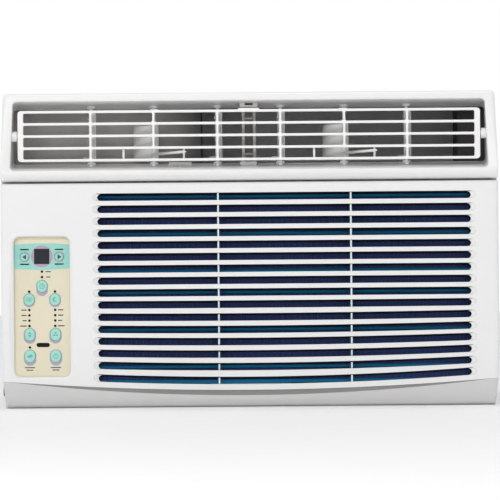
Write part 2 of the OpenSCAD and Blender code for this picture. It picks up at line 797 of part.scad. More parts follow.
module blower_wheel() {
    blades = 30;
    color([0.25, 0.26, 0.28]) translate([rotor_x, -104, rotor_z]) rotate([-90, 0, 0]) difference() {
        union() {
            for (z = [0, 54]) translate([0, 0, z]) difference() {
                cylinder(r = blower_r, h = 2);
                if (z == 0) translate([0, 0, -1]) cylinder(r = 68, h = 4);
            }
            translate([0, 0, 30]) cylinder(r = 10, h = 26);
            for (i = [0:blades - 1]) rotate([0, 0, i * 360 / blades]) translate([68.5, -3.5, 1])
                rotate([0, 0, 28]) cube([13, 1.4, 54]);
        }
        translate([0, 0, -1]) cylinder(r = shaft_r, h = 60);
    }
}

// ---------- Hot side ----------

module bulkhead() {
    color(steel) along_y(-18.4, -17.2) difference() {
        translate([-226, 1.5]) square([452, 289.5]);
        translate([rotor_x, rotor_z]) circle(52);
        translate([219, 205]) circle(6);
        translate([capillary_x, 212]) circle(3);
        translate([-190, 60]) circle(6);
    }
}

module fan_motor() {
    color([0.30, 0.31, 0.33]) difference() {
        union() {
            rod_y(rotor_x, -6, 58, rotor_z, 46);
            rod_y(rotor_x, -12, 64, rotor_z, 28);
            rod_y(rotor_x, -18, 70, rotor_z, 10);
            for (i = [0:11]) translate([rotor_x, 0, rotor_z]) rotate([0, i * 30, 0])
                block(45, 47.5, 44, 56, -1, 1);
        }
        rod_y(rotor_x, -20, 72, rotor_z, shaft_r + fit_gap);
    }
}

module motor_bracket() {
    color(steel) {
        for (y = [12, 37]) along_y(y, y + 3) difference() {
            polygon([[rotor_x - 62, 1.5], [rotor_x + 62, 1.5], [rotor_x + 52, 110], [rotor_x + 52, 150],
                [rotor_x - 52, 150], [rotor_x - 52, 110]]);
            translate([rotor_x, rotor_z]) circle(46);
            translate([rotor_x - 30, 14]) square([60, 52]);
        }
        block(rotor_x - 62, rotor_x - 20, 12, 40, 1.5, 3.5);
        block(rotor_x + 20, rotor_x + 62, 12, 40, 1.5, 3.5);
    }
}

module motor_shaft() {
    color([0.75, 0.76, 0.78]) rod_y(rotor_x, -78, 116, rotor_z, shaft_r);
}

module condenser_fan() {
    blades = 5;
    color([0.22, 0.23, 0.25]) translate([rotor_x, 84, rotor_z]) rotate([-90, 0, 0]) difference() {
        union() {
            cylinder(r = 20, h = 30);
            intersection() {
                cylinder(r = fan_r + 1, h = 30);
                for (i = [0:blades - 1]) rotate([0, 0, i * 360 / blades]) translate([15, -26, 14])
                    rotate([-26, 0, 0]) cube([fan_r, 54, 2]);
            }
            // Slinger ring
            translate([0, 0, 6]) difference() {
                cylinder(r = fan_r + 3, h = 16);
                translate([0, 0, -1]) cylinder(r = fan_r, h = 18);
            }
        }
        translate([0, 0, -1]) cylinder(r = shaft_r, h = 40);
    }
}

module fan_shroud() {
    shroud_hole_r = 114;
    color([0.28, 0.29, 0.30]) {
        along_y(112, 114) difference() {
            translate([-205, 1.5]) square([410, 286.5]);
            translate([rotor_x, rotor_z]) circle(shroud_hole_r);
        }
        along_y(114, 147) difference() {
            translate([-205, 1.5]) square([410, 286.5]);
            translate([-202, 4.5]) square([404, 280.5]);
        }
        difference() {
            rod_y(rotor_x, 98, 112, rotor_z, shroud_hole_r + 2);
            rod_y(rotor_x, 97, 113, rotor_z, shroud_hole_r);
        }
    }
}

module condenser_fins() {
    color([0.76, 0.78, 0.80]) {
        coil_fins(-cond_half + 12, cond_half - 12, cond_fin_pitch, 0.5, 150, 184, 12, 290, cond_y,
            cond_z0, cond_pitch, cond_rows);
        for (x = [-cond_half + 2, cond_half - 3.5])
            coil_fins(x, x + 1, 5, 1.5, 148, 186, 1.5, 291, cond_y, cond_z0, cond_pitch, cond_rows);
    }
}

module condenser_tubes() {
    color(copper) coil_tubes(-cond_half, cond_half, cond_y, cond_z0, cond_pitch, cond_rows, -1);
}

foot_pos = [for (a = [45, 180, 315]) [compressor_x + 64 * cos(a), compressor_y + 2 + 64 * sin(a)]];

module compressor() {
    color([0.10, 0.10, 0.11]) difference() {
        translate([compressor_x, compressor_y, 0]) {
            translate([0, 0, 34]) cylinder(r = comp_r, h = 140);
            intersection() {
                translate([0, 0, 110]) sphere(r = 84);
                translate([0, 0, 173]) cylinder(r = comp_r, h = 30);
            }
            translate([0, 0, 26]) cylinder(r = 50, h = 9);
            translate([22, 0, 185]) cylinder(r = 13, h = 12);
            // Foot plate
            translate([-compressor_x, -compressor_y, 22]) {
                for (p = foot_pos) translate([p[0], p[1], 0]) cylinder(r = 9, h = 4);
                translate([compressor_x, compressor_y, 0]) cylinder(r = 54, h = 4);
            }
        }
        for (p = foot_pos) rod_z(p[0], p[1], 20, 28, 5.4);
    }
}

module compressor_feet() {
    color([0.13, 0.13, 0.13]) for (p = foot_pos) difference() {
        union() {
            rod_z(p[0], p[1], 1.5, 22, 8);
            rod_z(p[0], p[1], 21, 28, 5.35);
        }
        rod_z(p[0], p[1], 0, 30, 3.03);
    }
}

module compressor_bolts() {
    color([0.66, 0.67, 0.68]) for (p = foot_pos) difference() {
        union() {
            rod_z(p[0], p[1], 28, 29.2, 7);
            translate([p[0], p[1], 29.2]) cylinder(r = 5.6, h = 5, $fn = 6);
        }
        rod_z(p[0], p[1], 20, 40, 3.03);
    }
}

module accumulator() {
    color([0.12, 0.12, 0.13]) translate([-214, 10, 0]) {
        translate([0, 0, 70]) cylinder(r = 14, h = 100);
        for (z = [70, 170]) translate([0, 0, z]) intersection() {
            translate([0, 0, z < 100 ? 6 : -6]) sphere(r = 15.2);
            translate([0, 0, -20]) cylinder(r = 14, h = 40);
        }
    }
}

module discharge_tube() {
    x = compressor_x - 20;
    y = compressor_y + 16;
    color(copper) pipe([[x, y, 191.3], [x, y, 278], [-218, y, 278], [-218, 159, 278],
        [-cond_half, 159, 278]], 3.5);
}

module suction_tube() {
    color(copper) {
        pipe([[evap_x1 + 2, -133, 187], [219, -133, 187], [219, -133, 205], [219, -8, 205],
            [219, -8, 252], [-214, -8, 252], [-214, 10, 252], [-214, 10, 179.3]], 4.5);
        pipe([[-214, 10, 60.7], [-214, 10, 50], [-199.5, 17.25, 50]], 4.5);
    }
}

module capillary_tube() {
    x = capillary_x;
    color(copper) pipe([[-cond_half, 175, 278], [-224, 175, 278], [-224, -12, 278], [x, -12, 278],
        [x, -12, 212], [x, -151, 212], [x, -151, 187], [evap_x1 + 2, -151, 187]], 1.6);
}

front_frame();
outlet_duct();
duct_post();
sill_clips();
louver_grid();
louver_bars();
placed_vane(0, slim_chord, 283, false);  // vane_left_outer
placed_vane(1, wide_chord, 270, true);  // vane_left_lever
placed_vane(2, slim_chord, 283, false);  // vane_left_inner
link_bar(0);  // link_left
placed_vane(3, slim_chord, 283, false);  // vane_right_inner
placed_vane(4, wide_chord, 270, true);  // vane_right_lever
placed_vane(5, slim_chord, 283, false);  // vane_right_outer
link_bar(3);  // link_right
intake_grille();
filter_frame();
filter_mesh();
control_fascia();
display_window();
indicator_leds();
receiver_window();
push_button(0);  // button_temp_down
push_button(1);  // button_temp_up
push_button(2);  // button_timer
push_button(3);  // button_filter
push_button(4);  // button_sleep
push_button(5);  // button_mode
push_button(6);  // button_fan
push_button(7);  // button_saver
push_button(8);  // button_power
control_box();
control_board();
run_capacitor();
cabinet_wrap();
base_pan();
rear_guard();
cabinet_screws();
front_screws();
cord_gland();
drain_tray();
evaporator_fins();
evaporator_tubes();
scroll_housing();
blower_wheel();
bulkhead();
fan_motor();
motor_bracket();
motor_shaft();
condenser_fan();
fan_shroud();
condenser_fins();
condenser_tubes();
compressor();
compressor_feet();
compressor_bolts();
accumulator();
discharge_tube();
suction_tube();
capillary_tube();
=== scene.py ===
import json
import math
import random

import bmesh
import bpy
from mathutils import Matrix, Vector, geometry


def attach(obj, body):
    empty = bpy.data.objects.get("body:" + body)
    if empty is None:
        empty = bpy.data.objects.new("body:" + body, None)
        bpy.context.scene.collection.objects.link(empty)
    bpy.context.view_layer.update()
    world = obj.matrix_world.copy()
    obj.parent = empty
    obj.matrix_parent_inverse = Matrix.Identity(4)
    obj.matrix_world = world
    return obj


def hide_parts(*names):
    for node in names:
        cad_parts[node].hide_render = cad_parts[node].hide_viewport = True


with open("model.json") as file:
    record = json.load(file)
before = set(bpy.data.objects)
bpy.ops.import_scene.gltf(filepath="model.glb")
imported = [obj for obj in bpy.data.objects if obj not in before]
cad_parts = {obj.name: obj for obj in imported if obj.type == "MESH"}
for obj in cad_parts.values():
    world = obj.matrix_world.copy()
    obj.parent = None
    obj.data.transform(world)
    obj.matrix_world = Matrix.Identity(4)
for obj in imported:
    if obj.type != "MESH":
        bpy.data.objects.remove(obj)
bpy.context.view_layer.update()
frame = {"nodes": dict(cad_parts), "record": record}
nodes = frame["nodes"]
MM = 0.001
rng = random.Random(7)

# ---------------------------------------------------------------- materials


def links(tree, pairs):
    for a, b in pairs:
        tree.links.new(a, b)


def finish_material(
    name,
    color,
    rough=0.4,
    metallic=0.0,
    vary=0.03,
    vary_scale=18.0,
    bump=0.02,
    bump_scale=900.0,
    rough_vary=0.06,
    edge=0.0,
    edge_color=(1, 1, 1),
    grime=0.0,
    grime_color=(0.25, 0.24, 0.22),
    coat=0.0,
    alpha=1.0,
    stretch=None,
    sheen=0.0,
    subsurface=0.0,
    specular=0.5,
):
    m = bpy.data.materials.new(name)
    m.use_nodes = True
    t = m.node_tree
    n = t.nodes
    shader = n["Principled BSDF"]
    shader.inputs["Metallic"].default_value = metallic
    shader.inputs["Coat Weight"].default_value = coat
    shader.inputs["Coat Roughness"].default_value = 0.12
    shader.inputs["Alpha"].default_value = alpha
    shader.inputs["Sheen Weight"].default_value = sheen
    shader.inputs["Specular IOR Level"].default_value = specular
    if subsurface:
        shader.inputs["Subsurface Weight"].default_value = subsurface
        shader.inputs["Subsurface Radius"].default_value = (0.004, 0.003, 0.002)
        shader.inputs["Subsurface Scale"].default_value = 0.5
    where = n.new("ShaderNodeTexCoord")
    mapping = n.new("ShaderNodeMapping")
    if stretch:
        mapping.inputs["Scale"].default_value = stretch
    links(t, [(where.outputs["Object"], mapping.inputs["Vector"])])
    big = n.new("ShaderNodeTexNoise")
    big.inputs["Scale"].default_value = vary_scale
    big.inputs["Detail"].default_value = 6
    ramp = n.new("ShaderNodeValToRGB")
    ramp.color_ramp.elements[0].position = 0.3
    ramp.color_ramp.elements[1].position = 0.7
    ramp.color_ramp.elements[0].color = [c * (1 - vary) for c in color] + [1]
    ramp.color_ramp.elements[1].color = [min(1, c * (1 + vary)) for c in color] + [1]
    links(
        t,
        [
            (mapping.outputs["Vector"], big.inputs["Vector"]),
            (big.outputs["Fac"], ramp.inputs["Fac"]),
        ],
    )
    shade = ramp.outputs["Color"]
    if edge or grime:
        geo = n.new("ShaderNodeNewGeometry")
    if edge:
        wear = n.new("ShaderNodeValToRGB")
        wear.color_ramp.elements[0].position = 0.52
        wear.color_ramp.elements[0].color = (0, 0, 0, 1)
        wear.color_ramp.elements[1].position = 0.62
        wear.color_ramp.elements[1].color = (edge, edge, edge, 1)
        mix = n.new("ShaderNodeMix")
        mix.data_type = "RGBA"
        mix.inputs["B"].default_value = list(edge_color) + [1]
        links(
            t,
            [
                (geo.outputs["Pointiness"], wear.inputs["Fac"]),
                (wear.outputs["Color"], mix.inputs["Factor"]),
                (shade, mix.inputs["A"]),
            ],
        )
        shade = mix.outputs["Result"]
    if grime:
        hollow = n.new("ShaderNodeValToRGB")
        hollow.color_ramp.elements[0].position = 0.40
        hollow.color_ramp.elements[0].color = (grime, grime, grime, 1)
        hollow.color_ramp.elements[1].position = 0.49
        hollow.color_ramp.elements[1].color = (0, 0, 0, 1)
        dirty = n.new("ShaderNodeMix")
        dirty.data_type = "RGBA"
        dirty.inputs["B"].default_value = list(grime_color) + [1]
        links(
            t,
            [
                (geo.outputs["Pointiness"], hollow.inputs["Fac"]),
                (hollow.outputs["Color"], dirty.inputs["Factor"]),
                (shade, dirty.inputs["A"]),
            ],
        )
        shade = dirty.outputs["Result"]
    links(t, [(shade, shader.inputs["Base Color"])])
    worn = n.new("ShaderNodeTexNoise")
    worn.inputs["Scale"].default_value = vary_scale * 2.3
    worn.inputs["Detail"].default_value = 4
    span = n.new("ShaderNodeMapRange")
    span.inputs["To Min"].default_value = max(0.02, rough - rough_vary)
    span.inputs["To Max"].default_value = min(1, rough + rough_vary)
    links(
        t,
        [
            (mapping.outputs["Vector"], worn.inputs["Vector"]),
            (worn.outputs["Fac"], span.inputs["Value"]),
            (span.outputs["Result"], shader.inputs["Roughness"]),
        ],
    )
    fine = n.new("ShaderNodeTexNoise")
    fine.inputs["Scale"].default_value = bump_scale
    fine.inputs["Detail"].default_value = 3
    raised = n.new("ShaderNodeBump")
    raised.inputs["Strength"].default_value = bump
    raised.inputs["Distance"].default_value = 0.0005
    links(
        t,
        [
            (mapping.outputs["Vector"], fine.inputs["Vector"]),
            (fine.outputs["Fac"], raised.inputs["Height"]),
            (raised.outputs["Normal"], shader.inputs["Normal"]),
        ],
    )
    return m


WHITE = (0.86, 0.865, 0.86)
mats = {
    "frame_white": finish_material("frame_white", WHITE, 0.36, vary=0.012, bump=0.05, edge=0.25, grime=0.12,
        specular=0.45),
    "grille_white": finish_material("grille_white", WHITE, 0.36, vary=0.012, bump=0.05, edge=0.25,
        grime=0.10, specular=0.45),
    "louver_white": finish_material("louver_white", (0.92, 0.92, 0.915), 0.42, vary=0.01, bump=0.04,
        edge=0.1, grime=0.02),
    "vane_white": finish_material("vane_white", (0.80, 0.80, 0.78), 0.42, vary=0.03, bump=0.04, edge=0.2,
        grime=0.08),
    "scroll_grey": finish_material("scroll_grey", (0.11, 0.108, 0.102), 0.85, vary=0.08, vary_scale=60,
        bump=0.5, bump_scale=420),
    "foam": finish_material("foam", (0.44, 0.425, 0.41), 0.8, vary=0.08, vary_scale=60, bump=0.6,
        bump_scale=420, grime=0.2),
    "post_grey": finish_material("post_grey", (0.49, 0.47, 0.45), 0.5, vary=0.04, bump=0.05, grime=0.2),
    "filter_blue": finish_material("filter_blue", (0.009, 0.20, 0.42), 0.6, vary=0.06, bump=0.05, grime=0.2,
        specular=0.15),
    "filter_net": finish_material("filter_net", (0.060, 0.10, 0.33), 0.6, vary=0.12, vary_scale=9, bump=0.1,
        specular=0.2),
    "fascia_beige": finish_material("fascia_beige", (0.80, 0.735, 0.56), 0.45, vary=0.015, bump=0.03,
        grime=0.1),
    "display": finish_material("display", (0.032, 0.033, 0.042), 0.3, vary=0.05, bump=0.0, specular=0.12),
    "lamp_black": finish_material("lamp_black", (0.006, 0.006, 0.008), 0.35, vary=0.1, bump=0.0,
        specular=0.15),
    "button_mint": finish_material("button_mint", (0.36, 0.74, 0.64), 0.42, vary=0.02, bump=0.04, edge=0.2,
        grime=0.2, subsurface=0.15),
    "box_plastic": finish_material("box_plastic", (0.66, 0.66, 0.65), 0.5, vary=0.03, bump=0.08),
    "board": finish_material("board", (0.02, 0.14, 0.06), 0.35, vary=0.12, vary_scale=90, bump=0.1,
        coat=0.3),
    "capacitor_can": finish_material("capacitor_can", (0.70, 0.71, 0.72), 0.3, 1.0, vary=0.05, bump=0.05),
    "cabinet_steel": finish_material("cabinet_steel", (0.68, 0.69, 0.68), 0.5, vary=0.02, bump=0.22,
        bump_scale=700, edge=0.15, grime=0.2),
    "pan_steel": finish_material("pan_steel", (0.46, 0.47, 0.47), 0.45, 0.3, vary=0.06, bump=0.1, edge=0.3,
        grime=0.3),
    "zinc": finish_material("zinc", (0.60, 0.61, 0.62), 0.3, 1.0, vary=0.08, vary_scale=120, bump=0.1),
    "rubber": finish_material("rubber", (0.020, 0.020, 0.020), 0.75, vary=0.15, bump=0.2),
    "fin_blue": finish_material("fin_blue", (0.020, 0.045, 0.22), 0.4, 0.2, vary=0.12, vary_scale=30,
        bump=0.05),
    "fin_bare": finish_material("fin_bare", (0.62, 0.64, 0.66), 0.35, 0.9, vary=0.08, vary_scale=40,
        bump=0.08, grime=0.3),
    "copper": finish_material("copper", (0.72, 0.33, 0.17), 0.3, 1.0, vary=0.12, vary_scale=70, bump=0.04),
    "fan_plastic": finish_material("fan_plastic", (0.035, 0.037, 0.042), 0.5, vary=0.08, bump=0.1, edge=0.2,
        edge_color=(0.2, 0.2, 0.2)),
    "motor_paint": finish_material("motor_paint", (0.07, 0.075, 0.085), 0.4, 0.3, vary=0.1, bump=0.12),
    "compressor_paint": finish_material("compressor_paint", (0.012, 0.012, 0.014), 0.25, vary=0.2,
        bump=0.05, coat=0.4),
}


def paint_shade_along_x(m, stops):
    """Paint shade on a material: multiply its colour by grey levels set along X, in millimetres."""
    t = m.node_tree
    shader = t.nodes["Principled BSDF"]
    where = t.nodes.new("ShaderNodeTexCoord")
    apart = t.nodes.new("ShaderNodeSeparateXYZ")
    span = t.nodes.new("ShaderNodeMapRange")
    span.inputs["From Min"].default_value = -240 * MM
    span.inputs["From Max"].default_value = 240 * MM
    ramp = t.nodes.new("ShaderNodeValToRGB")
    for k, (x, level) in enumerate(stops):
        at = (x + 240) / 480
        e = ramp.color_ramp.elements[k] if k < 2 else ramp.color_ramp.elements.new(at)
        e.position = at
        e.color = (level, level, level, 1)
    mix = t.nodes.new("ShaderNodeMix")
    mix.data_type = "RGBA"
    mix.blend_type = "MULTIPLY"
    mix.inputs["Factor"].default_value = 1
    before = shader.inputs["Base Color"].links[0].from_socket
    links(
        t,
        [
            (where.outputs["Object"], apart.inputs["Vector"]),
            (apart.outputs["X"], span.inputs["Value"]),
            (span.outputs["Result"], ramp.inputs["Fac"]),
            (before, mix.inputs["A"]),
            (ramp.outputs["Color"], mix.inputs["B"]),
            (mix.outputs["Result"], shader.inputs["Base Color"]),
        ],
    )


# Painted shade on the foam: its colour darkens along X from X -84 mm towards +X, standing in for the shade
# deep in the duct and scroll
paint_shade_along_x(mats["foam"], [(-84, 1.0), (200, 0.16), (-50, 0.34), (60, 0.3)])
# Painted shade: a darker copy of the white for the chin, standing in for the shade on its downward-curving
# face
chin_painted_shade = finish_material("chin_painted_shade", [c * 0.76 for c in WHITE], 0.4, vary=0.012, bump=0.05,
    specular=0.4)
# Painted shadow: near black for the slot roofs and the deep slot walls of the grille
slot_painted_shadow = finish_material("slot_painted_shadow", (0.012, 0.012, 0.014), 0.7, vary=0.05, bump=0.02, specular=0.1)
# Painted shade: grey for the band under the smile crease step of the grille
crease_painted_shade = finish_material("crease_painted_shade", (0.27, 0.26, 0.25), 0.5, vary=0.03, bump=0.04)
print_mint = finish_material("print_mint", (0.33, 0.70, 0.62), 0.45, vary=0.02, bump=0.03)
print_lavender = finish_material("print_lavender", (0.42, 0.39, 0.50), 0.45, vary=0.02, bump=0.03)
print_ink = finish_material("print_ink", (0.05, 0.075, 0.09), 0.5, vary=0.05, bump=0.0)
print_soft_ink = finish_material("print_soft_ink", (0.16, 0.42, 0.42), 0.5, vary=0.05, bump=0.0)

node_slot = {}
for entry in frame["record"]["subparts"]:
    node_slot[entry["node"]] = entry["material_slot"]


def paint(obj, material):
    obj.data.materials.clear()
    obj.data.materials.append(material)


# ---------------------------------------------------------------- mesh helpers


def piece(name, verts, faces, slot, body, stands_for=(), material=None, sharp=38, weighted=True, extra=()):
    """A smooth-shaded piece from points in millimetres, riding on a CAD body.

    extra holds pairs: the numbers of the faces that take another material, and that material.
    """
    mesh = bpy.data.meshes.new(name)
    bm = bmesh.new()
    made = [bm.verts.new([c * MM for c in v]) for v in verts]
    for k, f in enumerate(faces):
        try:
            face = bm.faces.new([made[i] for i in f])
        except ValueError:
            continue
        for i, (chosen, _) in enumerate(extra):
            if k in chosen:
                face.material_index = i + 1
    bmesh.ops.remove_doubles(bm, verts=bm.verts, dist=0.004 * MM)
    bmesh.ops.dissolve_degenerate(bm, dist=0.001 * MM, edges=bm.edges)
    bmesh.ops.recalc_face_normals(bm, faces=bm.faces)
    limit = math.radians(sharp)
    for e in bm.edges:
        e.smooth = not (len(e.link_faces) == 2 and e.calc_face_angle(0) > limit)
    for f in bm.faces:
        f.smooth = True
    bm.to_mesh(mesh)
    bm.free()
    obj = bpy.data.objects.new(name, mesh)
    bpy.context.scene.collection.objects.link(obj)
    marks = [p.material_index for p in mesh.polygons]
    paint(obj, material or mats[slot])
    for _, other in extra:
        mesh.materials.append(other)
    mesh.polygons.foreach_set("material_index", marks)
    if weighted:
        wn = obj.modifiers.new("weighted", "WEIGHTED_NORMAL")
        wn.keep_sharp = True
    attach(obj, body)
    if stands_for:
        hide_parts(*stands_for)
    return obj


class Build:
    """Collects points and faces of one piece."""

    def __init__(self):
        self.v = []
        self.f = []

    def point(self, x, y, z):
        self.v.append((x, y, z))
        return len(self.v) - 1

    def loop(self, pts):
        return [self.point(*p) for p in pts]

    def bridge(self, a, b, closed=True):
        n = len(a)
        for i in range(n if closed else n - 1):
            j = (i + 1) % n
            self.f.append((a[i], a[j], b[j], b[i]))

    def box(self, x0, x1, y0, y1, z0, z1, r=0.25):
        """A box with chamfered long edges."""
        r = min(r, (x1 - x0) / 3, (y1 - y0) / 3, (z1 - z0) / 3)
        rows = []
        for y, i in ((y0, r), (y0 + r, 0), (y1 - r, 0), (y1, r)):
            pts = [
                (x0 + i, z0 + r), (x0 + r, z0 + i), (x1 - r, z0 + i), (x1 - i, z0 + r),
                (x1 - i, z1 - r), (x1 - r, z1 - i), (x0 + r, z1 - i), (x0 + i, z1 - r),
            ]
            rows.append(self.loop([(x, y, z) for x, z in pts]))
        for a, b in zip(rows, rows[1:]):
            self.bridge(a, b)
        self.f.append(tuple(rows[0]))
        self.f.append(tuple(rows[-1]))

    def rod(self, p0, p1, r, seg=24, chamfer=0.3):
        """A closed round bar between two points."""
        a, b = Vector(p0), Vector(p1)
        d = (b - a).normalized()
        side = d.orthogonal().normalized()
        up = d.cross(side)
        rows = []
        length = (b - a).length
        chamfer = min(chamfer, r * 0.5, length * 0.3)
        for t, rr in ((0, r - chamfer), (chamfer, r), (length - chamfer, r), (length, r - chamfer)):
            c = a + d * t
            rows.append(self.loop([
                tuple(c + side * rr * math.cos(2 * math.pi * k / seg)
                      + up * rr * math.sin(2 * math.pi * k / seg))
                for k in range(seg)]))
        for x, y in zip(rows, rows[1:]):
            self.bridge(x, y)
        self.f.append(tuple(rows[0]))
        self.f.append(tuple(rows[-1]))


def arc(cx, cz, r, a0, a1, seg):
    return [(cx + r * math.cos(math.radians(a0 + (a1 - a0) * i / seg)),
             cz + r * math.sin(math.radians(a0 + (a1 - a0) * i / seg))) for i in range(seg + 1)]


def round_rect(x0, x1, z0, z1, r, seg=6):
    """Anticlockwise loop seen from the front, with +X to the right and +Z up."""
    r = min(r, (x1 - x0) / 2 - 1e-4, (z1 - z0) / 2 - 1e-4)
    return (arc(x1 - r, z0 + r, r, -90, 0, seg) + arc(x1 - r, z1 - r, r, 0, 90, seg)
            + arc(x0 + r, z1 - r, r, 90, 180, seg) + arc(x0 + r, z0 + r, r, 180, 270, seg))


def oval(x, z, a, b, seg=20):
    """Two half discs of radius a joined by straight sides, b high."""
    s = max(0.0, b - a)
    return arc(x, z + s, a, 0, 180, seg) + arc(x, z - s, a, 180, 360, seg)


def grown(loop, d):
    """The loop moved outwards by d, with its points kept."""
    out = []
    n = len(loop)
    for i in range(n):
        x0, z0 = loop[i - 1]
        x1, z1 = loop[i]
        x2, z2 = loop[(i + 1) % n]
        e1 = Vector((x1 - x0, z1 - z0))
        e2 = Vector((x2 - x1, z2 - z1))
        if e1.length < 1e-6:
            e1 = e2
        if e2.length < 1e-6:
            e2 = e1
        n1 = Vector((e1.y, -e1.x)).normalized()
        n2 = Vector((e2.y, -e2.x)).normalized()
        m = (n1 + n2)
        if m.length < 1e-6:
            m = n1
        m.normalize()
        k = d / max(0.35, m.dot(n1))
        out.append((x1 + m.x * k, z1 + m.y * k))
    return out


def clean(loop):
    out = [loop[0]]
    for p in loop[1:]:
        if abs(p[0] - out[-1][0]) + abs(p[1] - out[-1][1]) > 1e-4:
            out.append(p)
    if abs(out[0][0] - out[-1][0]) + abs(out[0][1] - out[-1][1]) < 1e-4:
        out.pop()
    return out


def inside(p, loop, box):
    if not (box[0] <= p[0] <= box[1] and box[2] <= p[1] <= box[3]):
        return False
    hit = False
    j = len(loop) - 1
    for i in range(len(loop)):
        xi, zi = loop[i]
        xj, zj = loop[j]
        if (zi > p[1]) != (zj > p[1]) and p[0] < (xj - xi) * (p[1] - zi) / (zj - zi) + xi:
            hit = not hit
        j = i
    return hit


def loop_box(loop):
    xs = [p[0] for p in loop]
    zs = [p[1] for p in loop]
    return (min(xs), max(xs), min(zs), max(zs))


def fill(outer, holes, extra=()):
    """Triangles between an outer loop and its holes: (points, triangles)."""
    pts, edges = [], []
    for loop in [outer] + holes:
        base = len(pts)
        pts += loop
        edges += [(base + i, base + (i + 1) % len(loop)) for i in range(len(loop))]
    hole_boxes = [loop_box(h) for h in holes]
    outer_box = loop_box(outer)
    for p in extra:
        if inside(p, outer, outer_box) and not any(inside(p, h, b) for h, b in zip(holes, hole_boxes)):
            pts.append(p)
    out = geometry.delaunay_2d_cdt([Vector(p) for p in pts], edges, [], 0, 1e-6)
    verts = [(v.x, v.y) for v in out[0]]
    tris = []
    for f in out[2]:
        c = (sum(verts[i][0] for i in f) / len(f), sum(verts[i][1] for i in f) / len(f))
        if inside(c, outer, outer_box) and not any(inside(c, h, b) for h, b in zip(holes, hole_boxes)):
            tris.append(tuple(f))
    return verts, tris


def plate(b, outer, holes, y0, y1, r=0.3, steps=2):
    """A flat plate with holes and rounded edges, from y0 in front to y1 behind."""
    outer = clean(outer)
    holes = [clean(h) for h in holes]
    rings = []
    for k in range(steps + 1):
        a = math.radians(90 * k / steps)
        rings.append((r * (1 - math.sin(a)), y0 + r * (1 - math.cos(a))))
    levels = rings + [(d, y1 - (y - y0)) for d, y in reversed(rings)]
    for loop, sign in [(outer, -1)] + [(h, 1) for h in holes]:
        rows = [b.loop([(x, y, z) for x, z in grown(loop, sign * d)]) for d, y in levels]
        for p, q in zip(rows, rows[1:]):
            b.bridge(p, q)
    shown = grown(outer, -r)
    open_holes = [grown(h, r) for h in holes]
    verts, tris = fill(shown, open_holes)
    for y in (y0, y1):
        base = len(b.v)
        for x, z in verts:
            b.point(x, y, z)
        for f in tris:
            b.f.append(tuple(base + i for i in f))


# ---------------------------------------------------------------- intake grille

HALF = 237.0
FACE_Y = -193.5
GRILLE_TOP = 214.2
GRILLE_REAR = -167.0
SLOT_H = 6.9
SLOT_Z = [200.8, 189.3, 177.9, 166.4, 155.0, 143.6, 132.3, 120.9, 109.5, 98.1, 85.9, 74.1, 62.5, 50.6, 38.6,
    25.4]
SLOT_RISE = [0] * 9 + [0.5, 1.5, 2.2, 2.9, 3.6, 4.6, 6.8]
RIB_X = (-29.9, 96.4)
WINDOW = (-224.7, -171.7, 30.3, 163.6)


def face_y(z):
    return FACE_Y + (0.000852 * (100 - z) ** 2 if z < 100 else 0.0)


def half_width(z):
    if z >= 70:
        return HALF - 0.2
    t = (70 - z) / 68
    return HALF - 0.2 - 3.0 * t ** 2.4


def crease(x):
    return 16.2 + 9.5 * (x / 232) ** 2


def slot_mid(k, x):
    return SLOT_Z[k] + SLOT_RISE[k] * (x / 205) ** 2


def slot_loop(k, x0, x1, grow, low=0.0):
    """Outline of slot k between two end centres; low drops its upper edge."""
    h = SLOT_H / 2 + grow
    n = 26
    xs = [x0 + (x1 - x0) * i / n for i in range(n + 1)]
    pts = [(x, slot_mid(k, x) - h) for x in xs]
    for i in range(1, 8):
        a = math.radians(-90 + 180 * i / 8)
        pts.append((x1 + h * math.cos(a), slot_mid(k, x1) + h * math.sin(a) - (low if a > 0 else 0)))
    pts += [(x, slot_mid(k, x) + h - low) for x in reversed(xs)]
    for i in range(1, 8):
        a = math.radians(90 + 180 * i / 8)
        pts.append((x0 + h * math.cos(a),
            slot_mid(k, x0) + h * math.sin(a) - (low if math.sin(a) > 0 else 0)))
    return pts


